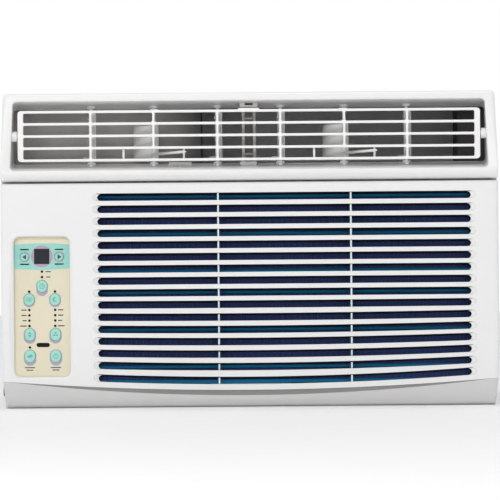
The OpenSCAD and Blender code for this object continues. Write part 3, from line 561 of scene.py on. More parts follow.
def grille_shell():
    b = Build()
    side_off = [(7.8, 0), (5.6, 0)]
    for i in range(7):
        a = math.radians(90 * i / 6)
        side_off.append((3.6 * (1 - math.sin(a)), 3.6 * (1 - math.cos(a))))
    n_mid = 44
    top_rows = [(GRILLE_TOP, None)]
    for i in range(6, -1, -1):
        a = math.radians(90 * i / 6)
        top_rows.append((GRILLE_TOP - 3.4 * (1 - math.sin(a)), 3.4 * (1 - math.cos(a))))
    top_rows.append((208.6, 0))
    n_face = 34
    n_chin = 8

    def column_rows(x):
        """(z, depth behind the face or None for the rear, flag of the block rows)."""
        zc = crease(x)
        t = max(0.0, 1 - (x / 233) ** 2)
        rows = [(z, d, "top") for z, d in top_rows]
        for i in range(1, n_face):
            rows.append((208.6 + (zc + 3 - 208.6) * i / n_face, 0, "face"))
        rows.append((zc + 3, 0, "low"))
        r = 0.9 * t + 0.05
        for i in range(5):
            a = math.radians(90 * i / 4)
            rows.append((zc + r * (1 - math.sin(a)), r * (1 - math.cos(a)), "low"))
        y0 = face_y(zc) + r + 2.1 * t
        z0 = zc - 4.9 * t - 0.05
        rows.append((zc - 0.5 * t, r + 1.4 * t, "low"))
        z1, y1 = 3.6, -179.6
        for i in range(n_chin + 1):
            s = i / n_chin
            rows.append((z0 + (z1 - z0) * s, y0 + (y1 - y0) * (0.35 * s + 0.65 * s * s), "abs"))
        rows.append((1.9, -178.4, "abs"))
        rows.append((1.0, -176.2, "abs"))
        rows.append((9.0, GRILLE_REAR, "abs"))
        return rows

    cols = [("rear", -1)]
    cols += [(o, -1) for o in reversed(side_off)]
    cols += [(i, 0) for i in range(1, n_mid)]
    cols += [(o, 1) for o in side_off]
    cols.append(("rear", 1))
    grid = []
    for c, side in cols:
        line = []
        if side == 0:
            x_top = -(half_width(208) - 7.8) + 2 * (half_width(208) - 7.8) * c / n_mid
        n_rows = len(column_rows(0))
        for r in range(n_rows):
            off, dy = (0, 0)
            if side != 0:
                if c == "rear":
                    off, dy = 0, None
                else:
                    off, dy = c
                xx = side * (HALF - 0.2 - off)
                z, d, kind = column_rows(xx)[r]
                x = side * (half_width(z) - off)
            else:
                z, d, kind = column_rows(x_top)[r]
                x = x_top * (half_width(z) - 7.8) / (half_width(208) - 7.8)
            if dy is None or d is None:
                y = GRILLE_REAR
            elif kind == "abs":
                y = d + dy
            else:
                y = face_y(z) + d + dy
            line.append((b.point(x, min(y, GRILLE_REAR), z), kind))
        grid.append(line)
    n_top = len(top_rows)
    first, last = n_top - 1, n_top - 1 + n_face
    lo, hi = len(side_off), len(side_off) + n_mid
    crease_shade_faces = set()
    chin_shade_faces = set()
    for i in range(len(grid) - 1):
        for j in range(len(grid[0]) - 1):
            if lo <= i < hi and first <= j < last:
                continue
            # The band under the crease step takes the grey painted shade
            if last + 5 <= j <= last + 6:
                crease_shade_faces.add(len(b.f))
            # The chin faces take the darker white as painted shade
            if j >= last + 7:
                chin_shade_faces.add(len(b.f))
            b.f.append((grid[i][j][0], grid[i + 1][j][0], grid[i + 1][j + 1][0], grid[i][j + 1][0]))
    # Middle block with the slots and the window, sharing the points round its edge
    edge = [grid[i][first][0] for i in range(lo, hi)]
    edge += [grid[hi][j][0] for j in range(first, last)]
    edge += [grid[i][last][0] for i in range(hi, lo, -1)]
    edge += [grid[lo][j][0] for j in range(last, first, -1)]
    outer = [(b.v[i][0], b.v[i][2]) for i in edge]
    x0, x1 = -149.2 + SLOT_H / 2, 215.1 - SLOT_H / 2
    holes = []
    roof_shadow_faces = set()
    for k in range(len(SLOT_Z)):
        rows = []
        for grow, dy, inset, low in ((0.55, 0, 0, 0), (0.3, 0.08, 0, 0), (0.1, 0.3, 0, 0), (0, 0.8, 0, 0),
                                     (0, 1.1, 0.4, 0.15), (0, 2.2, 4.3, 0.6), (0, 5.0, 4.75, 1.2),
                                     (0, 8.4, 4.9, 1.6), (-0.1, 9.4, 5.0, 1.8)):
            pts = slot_loop(k, x0 + inset, x1 - inset * 1.04, grow, low)
            rows.append(b.loop([(x, face_y(z) + dy, z) for x, z in pts]))
        for level, (p, q) in enumerate(zip(rows, rows[1:])):
            start = len(b.f)
            b.bridge(p, q)
            # From 0.3 mm behind the face the slot roofs, and from 2.2 mm back the whole slot walls, take the
            # near black painted shadow
            if level >= 2:
                roof_shadow_faces |= {start + i for i in range(34, 60)}
            if level >= 5:
                roof_shadow_faces |= set(range(start, len(b.f)))
        holes.append([(b.v[i][0], b.v[i][2]) for i in rows[0]])
    ring = round_rect(*WINDOW, 6, 8)
    rows = []
    for grow, dy in ((2.2, 0), (1.7, 0.12), (1.1, 0.5), (0.55, 1.1), (0.1, 1.9), (0, 2.6)):
        rows.append(b.loop([(x, face_y(z) + dy, z) for x, z in grown(ring, grow)]))
    rows.append(b.loop([(x, -186.2, z) for x, z in ring]))
    rows.append(b.loop([(x, -186.0, z) for x, z in grown(ring, 0.3)]))
    rows.append(b.loop([(x, -186.0, z) for x, z in grown(ring, 1.9)]))
    for p, q in zip(rows, rows[1:]):
        b.bridge(p, q)
    holes.append([(b.v[i][0], b.v[i][2]) for i in rows[0]])
    extra = []
    for z in [16 + 6 * i for i in range(32)]:
        for x in range(-225, 228, 9):
            extra.append((x + (4.5 if int(z / 6) % 2 else 0), z))
    verts, tris = fill(outer, [clean(h) for h in holes], extra)
    base = len(b.v)
    for x, z in verts:
        b.point(x, face_y(z), z)
    for f in tris:
        b.f.append(tuple(base + i for i in f))
    # Ribs and ledges behind the slats
    for x in RIB_X:
        for z0, z1 in ((22, 60), (60, 100), (100, 209)):
            b.box(x - 0.8, x + 0.8, face_y(z0) + 1.6, -182, z0, z1, 0.2)
    b.box(-150, 216, -191.4, -174, 208.2, 210.2, 0.3)
    b.box(-120, 190, -186, -173, 20.2, 22.2, 0.3)
    for s in (-1, 1):
        b.rod((s * 227.5, -173.5, 10.5), (s * 234, -173.5, 10.5), 2.0)
        b.rod((s * 231.5, -173.5, 10.5), (s * 234, -173.5, 10.5), 3.6)
    # Painted shadow on the slot roofs, painted shade on the crease band and on the chin
    return piece("grille_shell", b.v, b.f, "grille_white", "grille", ["intake_grille"],
                 extra=[(roof_shadow_faces, slot_painted_shadow), (crease_shade_faces, crease_painted_shade), (chin_shade_faces, chin_painted_shade)])


# ---------------------------------------------------------------- front frame


def trapezoid(zt, zb, ht, hb, r, n_long=40, n_short=10, seg=8):
    """Loop of a trapezoid with round corners, always with the same number of points."""
    def hw(z):
        return hb + (ht - hb) * (z - zb) / (zt - zb)
    pts = []
    a = hb - r
    pts += [(-a + 2 * a * i / n_long, zb) for i in range(n_long)]
    pts += [(hw(z) - r + (x - 0), z) for x,
        z in [(p[0], p[1]) for p in arc(0, zb + r, r, -90, 0, seg)]][:-1]
    pts += [(hw(zb + r + (zt - zb - 2 * r) * i / n_short),
        zb + r + (zt - zb - 2 * r) * i / n_short) for i in range(n_short)]
    pts += [(hw(z) - r + x, z) for x, z in arc(0, zt - r, r, 0, 90, seg)][:-1]
    a = ht - r
    pts += [(a - 2 * a * i / n_long, zt) for i in range(n_long)]
    pts += [(-hw(z) + r + x, z) for x, z in arc(0, zt - r, r, 90, 180, seg)][:-1]
    pts += [(-hw(zt - r - (zt - zb - 2 * r) * i / n_short),
        zt - r - (zt - zb - 2 * r) * i / n_short) for i in range(n_short)]
    pts += [(-hw(z) + r + x, z) for x, z in arc(0, zb + r, r, 180, 270, seg)][:-1]
    return pts


def front_frame_shell():
    b = Build()
    # top z, top y, bottom z, bottom y, half width at top, at bottom, corner radius
    sections = [
        (285.6, -149.4, 233.3, -149.4, 226.0, 226.8, 3.0),
        (292.1, -181.5, 227.3, -188.4, 224.9, 227.4, 3.6),
        (292.4, -182.5, 226.95, -190.3, 224.9, 227.5, 4.0),
        (292.7, -183.05, 226.75, -191.7, 225.0, 227.6, 4.2),
        (293.2, -183.4, 226.5, -192.8, 225.4, 228.0, 4.4),
        (293.9, -183.5, 226.3, -193.5, 226.0, 228.7, 4.6),
        (296.4, -183.3, 226.05, -194.1, 230.6, 233.4, 4.6),
        (298.0, -182.7, 225.6, -194.6, 232.4, 235.0, 4.4),
        (299.1, -181.6, 224.8, -194.95, 233.6, 236.2, 4.2),
        (299.8, -180.0, 223.7, -195.0, 234.3, 236.8, 4.2),
        (300.0, -178.0, 222.5, -194.8, 234.5, 237.0, 4.2),
        (300.0, -172.0, 221.2, -194.1, 234.5, 237.0, 4.2),
        (300.0, -166.0, 219.8, -192.4, 234.5, 237.0, 4.0),
        (300.0, -160.0, 218.2, -190.6, 234.5, 237.0, 3.4),
        (300.0, -152.0, 216.8, -189.0, 234.5, 237.0, 2.6),
        (300.0, -146.0, 216.0, -186.5, 234.5, 237.0, 1.8),
        (300.0, -136.0, 215.5, -166.5, 234.5, 237.0, 1.0),
        (299.6, -135.0, 215.6, -135.4, 234.2, 236.7, 1.0),
        (297.5, -135.0, 218.1, -135.2, 231.8, 231.8, 1.0),
        (297.3, -178.0, 218.4, -186.0, 231.6, 231.8, 1.0),
    ]
    rows = []
    for zt, yt, zb, yb, ht, hb, r in sections:
        loop = trapezoid(zt, zb, ht, hb, r)
        rows.append(b.loop([(x, yb + (yt - yb) * (z - zb) / (zt - zb), z) for x, z in loop]))
    for p, q in zip(rows, rows[1:]):
        b.bridge(p, q)
    # Rear face of the tunnel wall
    back = b.loop([(x, -149.4, z) for x, z in trapezoid(287.8, 230.8, 229.4, 229.4, 4)])
    b.bridge(rows[0], back)
    outside = b.loop([(x, -182.0 + 0.06 * (z - 292), z) for x,
        z in trapezoid(295.2, 224.6, 228.6, 230.2, 4)])
    b.bridge(back, outside)
    # Pivot bearings and vane sockets
    for s in (-1, 1):
        b.rod((s * 221.2, -178, 259.4), (s * 228, -178, 259.4), 5.0, 32, 0.5)
    for x in (-151, -91, -30, 30, 91, 151):
        b.rod((x, -158.6, 230.6), (x, -158.6, 234.4), 4.0, 28, 0.5)
        b.rod((x, -158.6, 286.0), (x, -158.6, 289.0), 4.0, 28, 0.4)
        b.box(x - 1.6, x + 1.6, -172, -160, 230.2, 232.6, 0.3)
    # Lower ring behind the grille
    outline = [(-HALF + 3, 0.3), (-HALF + 3.6, 0)] + [(-200 + 40 * i, 0) for i in range(11)]
    outline += [(HALF - 3.6, 0), (HALF - 3, 0.3), (HALF - 1, 20), (HALF - 0.4, 45), (HALF - 0.2, 70),
                (HALF, 216), (-HALF, 216), (-HALF + 0.2, 70), (-HALF + 0.4, 45), (-HALF + 1, 20)]
    intake = round_rect(-150, 220, 14, 207, 6)
    control = round_rect(-230.6, -160, 24, 172, 4)
    plate(b, outline, [intake, control], -166.5, -164, 0.4)
    inner = [(-HALF + 5.5, 2.5), (HALF - 5.5, 2.5), (HALF - 5.5, 215.5), (-HALF + 5.5, 215.5)]
    plate(b, outline, [inner], -164, -135, 0.4)
    for s in (-1, 1):
        x0, x1 = sorted((s * 229.3 - 1.5, s * 229.3 + 1.5))
        b.rod((x0, -173.5, 10.5), (x1, -173.5, 10.5), 3.2, 24, 0.2)
        b.box(x0, x1, -173.5, -165.5, 7.3, 13.7, 0.2)
    return piece("front_frame_shell", b.v, b.f, "frame_white", "chassis", ["front_frame"])


# ---------------------------------------------------------------- louvre grid

PIVOT_Z = 259.4
BAR_PITCH = 11.55


def louver_piece():
    b = Build()
    rows_z = [PIVOT_Z + (i - 2) * BAR_PITCH for i in range(5)]
    z0, z1 = PIVOT_Z - 24.3, PIVOT_Z + 24.3
    holes = []
    for i in range(4):
        if i == 0:
            xs = [-151, -30, 30, 151]
        else:
            xs = [-151, -91, -30, 30, 91, 151]
        stops = [-215.3 - 1.0] + xs + [215.3 + 1.0]
        for a, c in zip(stops, stops[1:]):
            zb, zt = rows_z[i] + 1.2, rows_z[i + 1] - 1.2
            holes.append(round_rect(a + 1.0, c - 1.0, zb, zt, 1.5, 4))
    outline = round_rect(-220.5, 220.5, z0, z1, 3.2, 6)
    # Finger tab on the top bar
    mid = len(outline) // 2
    tab = [(10.5, z1), (9.6, z1 + 1.25), (-9.6, z1 + 1.25), (-10.5, z1)]
    top = [i for i, p in enumerate(outline) if abs(p[1] - z1) < 1e-6]
    right = max(top, key=lambda i: outline[i][0])
    outline = outline[:right + 1] + tab + outline[right + 1:]
    plate(b, outline, holes, -183, -173, 0.3, 2)
    # Short bars at the rear of the bottom row, which leave room for the levers
    for x in (-119.8, -62.2, 62.2, 119.8):
        b.box(x - 1, x + 1, -177, -173, rows_z[0] + 1, rows_z[1] - 1, 0.2)
    for s in (-1, 1):
        b.rod((s * 220, -178, PIVOT_Z), (s * 228.4, -178, PIVOT_Z), 2.5, 24)
    for x in (-90, 90):
        b.box(x - 4, x + 4, -180, -176, z1 - 0.4, z1 + 0.7, 0.3)
    return piece("louver_grid_moulding", b.v, b.f, "louver_white", "louver", ["louver_grid", "louver_bars"])


# ---------------------------------------------------------------- vanes


VANE_LEAD = 5.5


def vane_piece(name, x, chord, z_top, lever):
    """An upright vane with a gently cupped blade, pins and, on two of them, a lever."""
    b = Build()
    base_z = 237.6
    n = 14
    r = 6.0 if lever else 2.5
    bulge = 4.4 if lever else 0.4
    left, right = [], []
    for side, store in ((-1, left), (1, right)):
        for i in range(n + 1):
            t = i / n
            y = -VANE_LEAD + (chord + VANE_LEAD) * t
            s = max(0.0, y / chord)
            bow = bulge * 4 * s * (1 - s)
            thick = 0.85 - 0.3 * t
            drop = 0.0
            back = y - (chord - r)
            if back > 0:
                drop = r - math.sqrt(max(0.0, r * r - back * back))
            store.append((-bow + side * thick, y, drop))
    rows = []
    for zf in (0, 0.02, 0.5, 0.98, 1):
        pinch = 0.75 if zf in (0, 1) else 1.0
        line = []
        for px, py, drop in right + left[::-1]:
            z = base_z + (z_top - drop * (1 if zf > 0.5 else 0) - base_z) * zf
            line.append((px * pinch if lever else px, py, z))
        rows.append(b.loop(line))
    for p, q in zip(rows, rows[1:]):
        b.bridge(p, q)
    b.f.append(tuple(rows[0]))
    b.f.append(tuple(rows[-1]))
    b.rod((0, 0, base_z), (0, 0, z_top), 2.2, 20)
    b.rod((0, 0, 231), (0, 0, base_z + 1), 1.6, 16)
    b.rod((0, 0, z_top - 1), (0, 0, 287.6), 1.6, 16)
    b.rod((0, 9, 234.8), (0, 9, base_z + 1.5), 1.2, 16)
    b.box(-1.4, 1.4, 0, 10.4, base_z, base_z + 2, 0.3)
    if lever:
        b.rod((0, 0, z_top - 0.5), (0, 0, z_top + 5), 2.6, 20, 1.2)
    else:
        b.rod((0, 0, 275.2), (0, 0, 277.8), 3.4, 24, 0.5)
    if lever:
        rows = []
        length = 43.5
        for i in range(15):
            t = i / 14
            y = 1.5 - (length + 1.5) * t
            half_x = 2.3 - 1.0 * t
            half_z = 1.6 - 0.4 * t
            if t > 0.93:
                k = (t - 0.93) / 0.07
                half_x *= math.sqrt(max(0.02, 1 - 0.8 * k * k))
                half_z *= math.sqrt(max(0.02, 1 - 0.8 * k * k))
            zc = 241.65 + 2.0 * t + 0.5 * t * (1 - t)
            rows.append(b.loop([(half_x * math.cos(a), y, zc + half_z * math.sin(a))
                                for a in [2 * math.pi * k / 16 for k in range(16)]]))
        for p, q in zip(rows, rows[1:]):
            b.bridge(p, q)
        b.f.append(tuple(rows[0]))
        b.f.append(tuple(rows[-1]))
    c, s = math.cos(math.radians(45)), math.sin(math.radians(45))
    turned = [(x + px * c - py * s, -158.6 + px * s + py * c, pz) for px, py, pz in b.v]
    return piece(name + "_moulding", turned, b.f, "vane_white", name + "_body", [name])


# ---------------------------------------------------------------- control panel

FASCIA_Y = -185.5
BUTTONS = {
    "button_temp_down": (-214.6, 144.5, 3.9, 3.9),
    "button_temp_up": (-181.7, 144.5, 3.9, 3.9),
    "button_timer": (-198.2, 116.6, 4.75, 5.7),
    "button_filter": (-210.5, 103.9, 4.75, 5.6),
    "button_sleep": (-185.9, 103.9, 4.75, 5.6),
    "button_mode": (-210.2, 70.6, 4.75, 5.9),
    "button_fan": (-185.7, 70.6, 4.75, 5.9),
    "button_saver": (-210.1, 50.0, 4.9, 5.9),
    "button_power": (-185.5, 50.0, 4.9, 5.9),
}
LEDS = [(-198.2, 130.5), (-198.2, 125.3), (-210.5, 111.5), (-185.9, 111.5), (-210.2, 58.3)]
LEDS += [(x, z) for x in (-210.5, -185.9) for z in (94, 88.9, 83.9, 78.8)]


def ink(name, shapes, y, body, material, slot="fascia_beige"):
    """Flat print: each shape is (outer loop, holes), a hair in front of y."""
    b = Build()
    for outer, holes in shapes:
        outer = clean(outer)
        holes = [clean(h) for h in holes]
        verts, tris = fill(outer, holes)
        base = len(b.v)
        for x, z in verts:
            b.point(x, y - 0.04, z)
        for f in tris:
            b.f.append(tuple(base + i for i in f))
        for loop in [outer] + holes:
            b.bridge(b.loop([(x, y - 0.04, z) for x, z in loop]), b.loop([(x, y, z) for x, z in loop]))
    return piece(name, b.v, b.f, slot, body, material=material)


def fascia_pieces():
    b = Build()
    holes = [oval(x, z, a + 0.14, h + 0.14) for x, z, a, h in BUTTONS.values()]
    holes += [arc(x, z, 1.2, 0, 360, 16) for x, z in LEDS]
    holes.append(round_rect(-205.65, -190.95, 137.65, 152.35, 0.6, 3))
    holes.append(round_rect(-203.9, -191.3, 58.6, 62.6, 1.9, 5))
    plate(b, round_rect(-228, -168.5, 27, 167, 5), holes, FASCIA_Y, FASCIA_Y + 2.5, 0.15, 1)
    piece("fascia_plate", b.v, b.f, "fascia_beige", "chassis", ["control_fascia"])
    # Mint band with bowed edges
    band = [(-226 + 55.6 * i / 20, 133.6 - 1.4 * math.sin(math.pi * i / 20)) for i in range(21)]
    band += [(-170.4 - 55.6 * i / 20, 156 + 1.6 * math.sin(math.pi * i / 20)) for i in range(21)]
    cut = [arc(-214.6, 144.5, 5.05, 0, 360, 28), arc(-181.7, 144.5, 5.05, 0, 360, 28),
           arc(-198.3, 145, 10.7, 0, 360, 40)]
    ink("print_band", [(band, cut)], FASCIA_Y, "chassis", print_mint)
    rings = [
        (arc(-198.3, 145, 10.5, 0, 360, 40), [round_rect(-205.75, -190.85, 137.55, 152.45, 0.7, 3)]),
        (arc(-214.6, 144.5, 5.0, 0, 360, 28), [arc(-214.6, 144.5, 4.08, 0, 360, 28)]),
        (arc(-181.7, 144.5, 5.0, 0, 360, 28), [arc(-181.7, 144.5, 4.08, 0, 360, 28)]),
    ]
    for key, dz, a, h in (("button_timer", -1.6, 5.6, 7.7), ("button_filter", -0.6, 5.6, 6.7),
                          ("button_sleep", -0.6, 5.6, 6.7),
                          ("button_mode", -1.2, 5.9, 7.5), ("button_fan", -1.2, 5.9, 7.5),
                          ("button_saver", -1.4, 5.9, 7.7), ("button_power", -1.4, 5.9, 7.7)):
        x, z, ba, bh = BUTTONS[key]
        rings.append((oval(x, z + dz, a, h), [oval(x, z, ba + 0.18, bh + 0.18)]))
    ink("print_rings", rings, FASCIA_Y, "chassis", print_lavender)
    # Small dashes and dots beside the lamps, in place of words
    marks = []
    for x, z in LEDS[5:]:
        s = -1 if x < -198 else 1
        w = 6.4 - 1.2 * (int(z) % 3)
        x0 = x + s * 2.6
        lo, hi = sorted((x0, x0 + s * w))
        marks.append((round_rect(lo, hi, z - 0.55, z + 0.55, 0.5, 3), []))
    for x, z, w in ((-193.2, 130.5, 5.2), (-193.2, 125.3, 4.2)):
        marks.append((round_rect(x - w / 2 + 1, x + w / 2 + 1, z - 0.5, z + 0.5, 0.45, 3), []))
    for x, z, w in ((-214.6, 151.6, 8.4), (-181.7, 151.6, 8.4), (-214.6, 137.6, 8.8), (-181.7, 137.6, 8.8)):
        marks.append((round_rect(x - w / 2, x + w / 2, z - 0.6, z + 0.6, 0.5, 3), []))
    for x in (-210.4, -185.6):
        marks.append((round_rect(x - 5, x + 5, 38.6, 39.6, 0.45, 3), []))
        marks.append((round_rect(x - 3.4, x + 3.4, 36.2, 37.2, 0.45, 3), []))
    ink("print_marks", marks, FASCIA_Y, "chassis", print_ink)


def button_pieces():
    for name, (x, z, a, h) in BUTTONS.items():
        b = Build()
        front = FASCIA_Y - 1.8
        rows = []
        for grow, y in ((0.9, -181.5), (0.9, -182.5), (0.0, -182.5), (0.0, front + 0.75),
                        (-0.12, front + 0.42), (-0.42, front + 0.16), (-0.9, front + 0.02),
                        (-1.6, front - 0.0), (-2.6, front + 0.05), (-3.3, front + 0.1)):
            rows.append(b.loop([(px, y, pz) for px, pz in oval(x, z, a + grow, h + grow)]))
        for p, q in zip(rows, rows[1:]):
            b.bridge(p, q)
        b.f.append(tuple(rows[0]))
        b.f.append(tuple(rows[-1]))
        b.rod((x, -182, z), (x, -180, z), 2.0, 16)
        piece(name + "_cap", b.v, b.f, "button_mint", name + "_body", [name])
    y = FASCIA_Y - 1.8
    t = 0.9

    def icon(name, shapes, material=print_soft_ink):
        ink(name + "_icon", shapes, y - 0.02, name + "_body", material, "button_mint")

    x, z = BUTTONS["button_temp_down"][:2]
    icon("button_temp_down", [([(x + 1.5, z - 2.5), (x + 1.5, z + 2.5), (x - 2.3, z)], [])], print_ink)
    x, z = BUTTONS["button_temp_up"][:2]
    icon("button_temp_up", [([(x - 1.5, z + 2.5), (x - 1.5, z - 2.5), (x + 2.3, z)], [])], print_ink)
    x, z = BUTTONS["button_timer"][:2]
    icon("button_timer", [(arc(x, z, 2.5, 0, 360, 28), [arc(x, z, 2.0, 0, 360, 28)]),
                          (round_rect(x - 0.22, x + 0.22, z - 0.2, z + 1.6, 0.1, 2), []),
                          (round_rect(x + 0.3, x + 1.4, z - 0.22, z + 0.22, 0.1, 2), [])])
    x, z = BUTTONS["button_filter"][:2]
    icon("button_filter", [(round_rect(x - 2.3 + 1.25 * i, x - 1.9 + 1.25 * i, z - 2.0, z + 2.0, 0.15, 2),
        []) for i in range(4)])
    x, z = BUTTONS["button_sleep"][:2]
    moon = [(x + 2.3 * math.cos(a), z + 2.3 * math.sin(a))
            for a in [math.radians(50 + 260 * i / 24) for i in range(25)]]
    p0, p1 = moon[0], moon[-1]
    back = [(x + 1.1 + 1.9 * math.cos(a), z + 1.9 * math.sin(a))
            for a in [math.radians(258 - 156 * i / 16) for i in range(17)]]
    icon("button_sleep", [(moon + back, [])])
    x, z = BUTTONS["button_mode"][:2]
    icon("button_mode", [([(x - 1.6, z + 0.5), (x + 1.6, z + 0.5), (x, z + 2.7)], []),
                         ([(x + 1.6, z - 0.5), (x - 1.6, z - 0.5), (x, z - 2.7)], [])])
    x, z = BUTTONS["button_fan"][:2]
    blades = []
    for k in range(3):
        a = math.radians(90 + 120 * k)
        cx, cz = x + 1.5 * math.cos(a), z + 1.5 * math.sin(a)
        blades.append(([(cx + 1.15 * math.cos(a + q) if abs(q) < 9 else cx, cz + 0.75 * math.sin(a + q))
                        for q in [2 * math.pi * i / 14 for i in range(14)]], []))
    icon("button_fan", blades)
    x, z = BUTTONS["button_saver"][:2]
    leaf = [(x + 2.4 * math.cos(q), z + 1.25 * math.sin(q) + 0.5 * math.cos(q))
            for q in [2 * math.pi * i / 24 for i in range(24)]]
    icon("button_saver", [(leaf, [round_rect(x - 1.6, x + 1.4, z - 0.14, z + 0.14, 0.1, 2)])])
    x, z = BUTTONS["button_power"][:2]
    ring_out = arc(x, z, 2.4, 115, 425, 26)
    ring_in = arc(x, z, 1.9, 425, 115, 26)
    icon("button_power", [(ring_out + ring_in, []),
        (round_rect(x - 0.25, x + 0.25, z + 0.4, z + 2.7, 0.1, 2), [])])


def small_lenses():
    b = Build()
    for x, z in LEDS:
        rows = []
        for r, y in ((1.18, -183.0), (1.18, FASCIA_Y), (1.1, FASCIA_Y - 0.12), (0.75, FASCIA_Y - 0.22),
            (0.3, FASCIA_Y - 0.27)):
            rows.append(b.loop([(px, y, pz) for px, pz in arc(x, z, r, 0, 360, 20)[:-1]]))
        for p, q in zip(rows, rows[1:]):
            b.bridge(p, q)
        b.f.append(tuple(rows[0]))
        b.f.append(tuple(rows[-1]))
    piece("lamp_lenses", b.v, b.f, "lamp_black", "chassis", ["indicator_leds"])
    b = Build()
    plate(b, round_rect(-205.6, -191.0, 137.7, 152.3, 0.5, 3), [], FASCIA_Y + 0.25, FASCIA_Y + 2.5, 0.2)
    piece("display_pane", b.v, b.f, "display", "chassis", ["display_window"])
    b = Build()
    plate(b, round_rect(-203.85, -191.35, 58.65, 62.55, 1.85, 5), [], FASCIA_Y - 0.1, FASCIA_Y + 2.5, 0.2)
    piece("receiver_pane", b.v, b.f, "lamp_black", "chassis", ["receiver_window"])


# ---------------------------------------------------------------- filter and coils


def filter_pieces():
    b = Build()
    mid, rib_first, rib_pitch = 119.7, 10.3, 35.4  # ribs stand symmetrically about the middle
    ribs = [(-147, 215, mid + s * (rib_first + rib_pitch * i) - 2, mid + s * (rib_first + rib_pitch * i) + 2)
            for s in (-1, 1) for i in range(3)]
    b.box(-151, 219, -179.5, -174, 204, 208, 0.6)
    b.box(-151, 219, -179.5, -174, 22.4, 26.4, 0.6)
    b.box(-151, -147, -179.5, -174, 26, 204.4, 0.6)
    b.box(215, 219, -179.5, -174, 26, 204.4, 0.6)
    for x0, x1, z0, z1 in ribs:
        b.box(x0, x1, -179.5, -176.4, z0 + 0.5, z1 - 0.5, 0.5)
    for x in RIB_X:
        b.box(x - 2, x + 2, -179.4, -176.4, 26, 205, 0.5)
    piece("filter_rim", b.v, b.f, "filter_blue", "grille", ["filter_frame"])
    b = Build()
    pitch, half = 1.3, 0.53
    n = int(362 / pitch)
    for i in range(1, n):
        x = -147 + i * pitch
        a = [b.point(x - half, -176.2, 26.4), b.point(x + half, -176.2, 26.4),
            b.point(x + half, -176.2, 204), b.point(x - half, -176.2, 204)]
        b.f.append(tuple(a))
    n = int(177.6 / pitch)
    for i in range(1, n):
        z = 26.4 + i * pitch
        a = [b.point(-147, -175.9, z - 0.3), b.point(215, -175.9, z - 0.3), b.point(215, -175.9, z + 0.3),
            b.point(-147, -175.9, z + 0.3)]
        b.f.append(tuple(a))
    piece("filter_net", b.v, b.f, "filter_net", "grille", ["filter_mesh"], weighted=False)


def fine_fins(name, node, slot, x0, x1, pitch, y0, y1, z0, z1, plates):
    """Thin wavy fins across a coil, with its two end plates."""
    b = Build()
    n = int((x1 - x0) / pitch)
    waves = 5
    for i in range(n + 1):
        x = x0 + i * pitch + rng.uniform(-0.12, 0.12)
        low, high = [], []
        for k in range(waves + 1):
            y = y0 + (y1 - y0) * k / waves
            dx = 0.18 if k % 2 else -0.18
            low.append(b.point(x + dx, y, z0))
            high.append(b.point(x + dx, y, z1))
        for k in range(waves):
            b.f.append((low[k], low[k + 1], high[k + 1], high[k]))
    for x, a, c, d, e in plates:
        b.box(x, x + 1.5, a, c, d, e, 0.2)
    piece(name, b.v, b.f, slot, "chassis", [node], weighted=False)


# ---------------------------------------------------------------- build

grille_shell()
front_frame_shell()
louver_piece()
for vane, vx, chord, top, lever in (
    ("vane_left_outer", -151, 3, 283, False),
    ("vane_left_lever", -91, 28, 270, True),
    ("vane_left_inner", -30, 3, 283, False),
    ("vane_right_inner", 30, 3, 283, False),
    ("vane_right_lever", 91, 28, 270, True),
    ("vane_right_outer", 151, 3, 283, False),
):
    vane_piece(vane, vx, chord, top, lever)
fascia_pieces()
button_pieces()
small_lenses()
filter_pieces()
fine_fins("cooling_coil_fins", "evaporator_fins", "fin_blue", -136, 205, 1.7, -160, -124, 22, 198,
          [(-138, -161, -123, 21.6, 204), (205.5, -161, -123, 21.6, 204)])
fine_fins("condenser_coil_fins", "condenser_fins", "fin_bare", -203, 203, 1.9, 150, 184, 12, 290,
          [(-206, 148, 186, 1.5, 291), (204.5, 148, 186, 1.5, 291)])

BEVELS = {
    "cabinet_wrap": 0.3, "base_pan": 0.4, "rear_guard": 0.3, "duct_post": 0.4, "sill_clips": 0.2,
    "link_left": 0.3, "link_right": 0.3, "control_box": 0.5, "outlet_duct": 1.0, "scroll_housing": 1.5,
    "cord_gland": 0.5, "compressor_bolts": 0.3, "fan_shroud": 0.5, "motor_bracket": 0.3,
    "cabinet_screws": 0.2, "front_screws": 0.2, "fan_motor": 0.8, "drain_tray": 1.0, "bulkhead": 0.3,
}
for name, obj in nodes.items():
    paint(obj, mats[node_slot[name]])
    if name in BEVELS:
        weld = obj.modifiers.new("weld", "WELD")
        weld.merge_threshold = 0.00002
        bevel = obj.modifiers.new("bevel", "BEVEL")
        bevel.width = BEVELS[name] * MM
        bevel.segments = 2
        bevel.limit_method = "ANGLE"
        bevel.angle_limit = math.radians(40)
        bevel.harden_normals = True

# ---------------------------------------------------------------- stage, light, camera


def area_light(name, at, target, size, power, color=(1, 1, 1)):
    data = bpy.data.lights.new(name, "AREA")
    data.shape = "RECTANGLE"
    data.size, data.size_y = size
    data.energy = power
    data.color = color
    obj = bpy.data.objects.new(name, data)
    obj.location = at
    obj.rotation_euler = (Vector(target) - Vector(at)).to_track_quat("-Z", "Y").to_euler()
    bpy.context.scene.collection.objects.link(obj)
    return obj


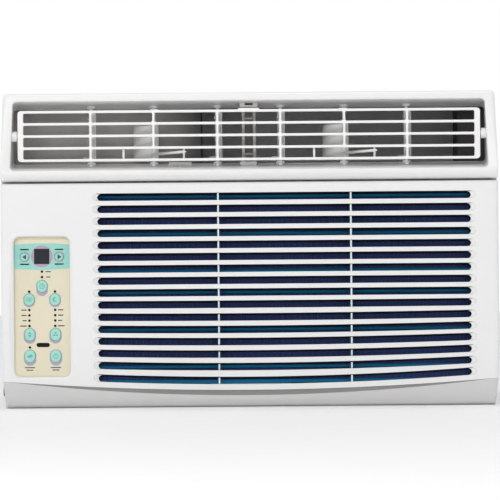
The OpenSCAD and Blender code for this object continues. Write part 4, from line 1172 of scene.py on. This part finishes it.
floor_mesh = bpy.data.meshes.new("floor")
floor_mesh.from_pydata([(-6, -6, 0), (6, -6, 0), (6, 6, 0), (-6, 6, 0)], [], [(0, 1, 2, 3)])
floor = bpy.data.objects.new("floor", floor_mesh)
bpy.context.scene.collection.objects.link(floor)
floor_mat = finish_material("floor_paint", (0.86, 0.86, 0.86), 0.7, vary=0.01, bump=0.02, bump_scale=40)
floor_mat.node_tree.nodes["Principled BSDF"].inputs["Emission Color"].default_value = (1, 1, 1, 1)
floor_mat.node_tree.nodes["Principled BSDF"].inputs["Emission Strength"].default_value = 0.08
paint(floor, floor_mat)

world = bpy.data.worlds.new("studio")
bpy.context.scene.world = world
world.use_nodes = True
wt = world.node_tree
sky_at = wt.nodes.new("ShaderNodeTexCoord")
sky_split = wt.nodes.new("ShaderNodeSeparateXYZ")
sky_height = wt.nodes.new("ShaderNodeMath")
sky_height.operation = "ABSOLUTE"
sky_ramp = wt.nodes.new("ShaderNodeValToRGB")
sky_ramp.color_ramp.elements[0].position = 0.10
sky_ramp.color_ramp.elements[0].color = (1, 1, 1, 1)
sky_ramp.color_ramp.elements[1].position = 0.55
sky_ramp.color_ramp.elements[1].color = (0.25, 0.25, 0.25, 1)
links(wt, [
    (sky_at.outputs["Generated"], sky_split.inputs["Vector"]),
    (sky_split.outputs["Z"], sky_height.inputs[0]),
    (sky_height.outputs["Value"], sky_ramp.inputs["Fac"]),
    (sky_ramp.outputs["Color"], wt.nodes["Background"].inputs["Color"]),
])
wt.nodes["Background"].inputs["Strength"].default_value = 1.0
KEY_WATTS = 23
SUN_STRENGTH = 1.5
SUN_ANGLE = 50  # degrees, wide for soft shadows
area_light("key", (-0.7, -3.0, 1.4), (0, -0.15, 0.15), (1.3, 0.5), KEY_WATTS)
sun_data = bpy.data.lights.new("overhead", "SUN")
sun_data.energy = SUN_STRENGTH
sun_data.angle = math.radians(SUN_ANGLE)
sun = bpy.data.objects.new("overhead", sun_data)
sun.location = (0, 0, 3)
bpy.context.scene.collection.objects.link(sun)

scene = bpy.context.scene
scene.view_settings.view_transform = "Standard"
scene.view_settings.look = "None"
scene.view_settings.exposure = 0.0

cam_data = bpy.data.cameras.new("camera")
cam = bpy.data.objects.new("camera", cam_data)
scene.collection.objects.link(cam)
CAM_DIST = 4.2
CAM_Z = 0.1495
cam.location = (0.0002, -0.195 - CAM_DIST, CAM_Z)
cam.rotation_euler = (math.radians(90), math.radians(0.47), 0)
cam_data.sensor_width = 36
cam_data.lens = 36 * CAM_DIST / 0.4753
cam_data.clip_end = 20
scene.camera = cam
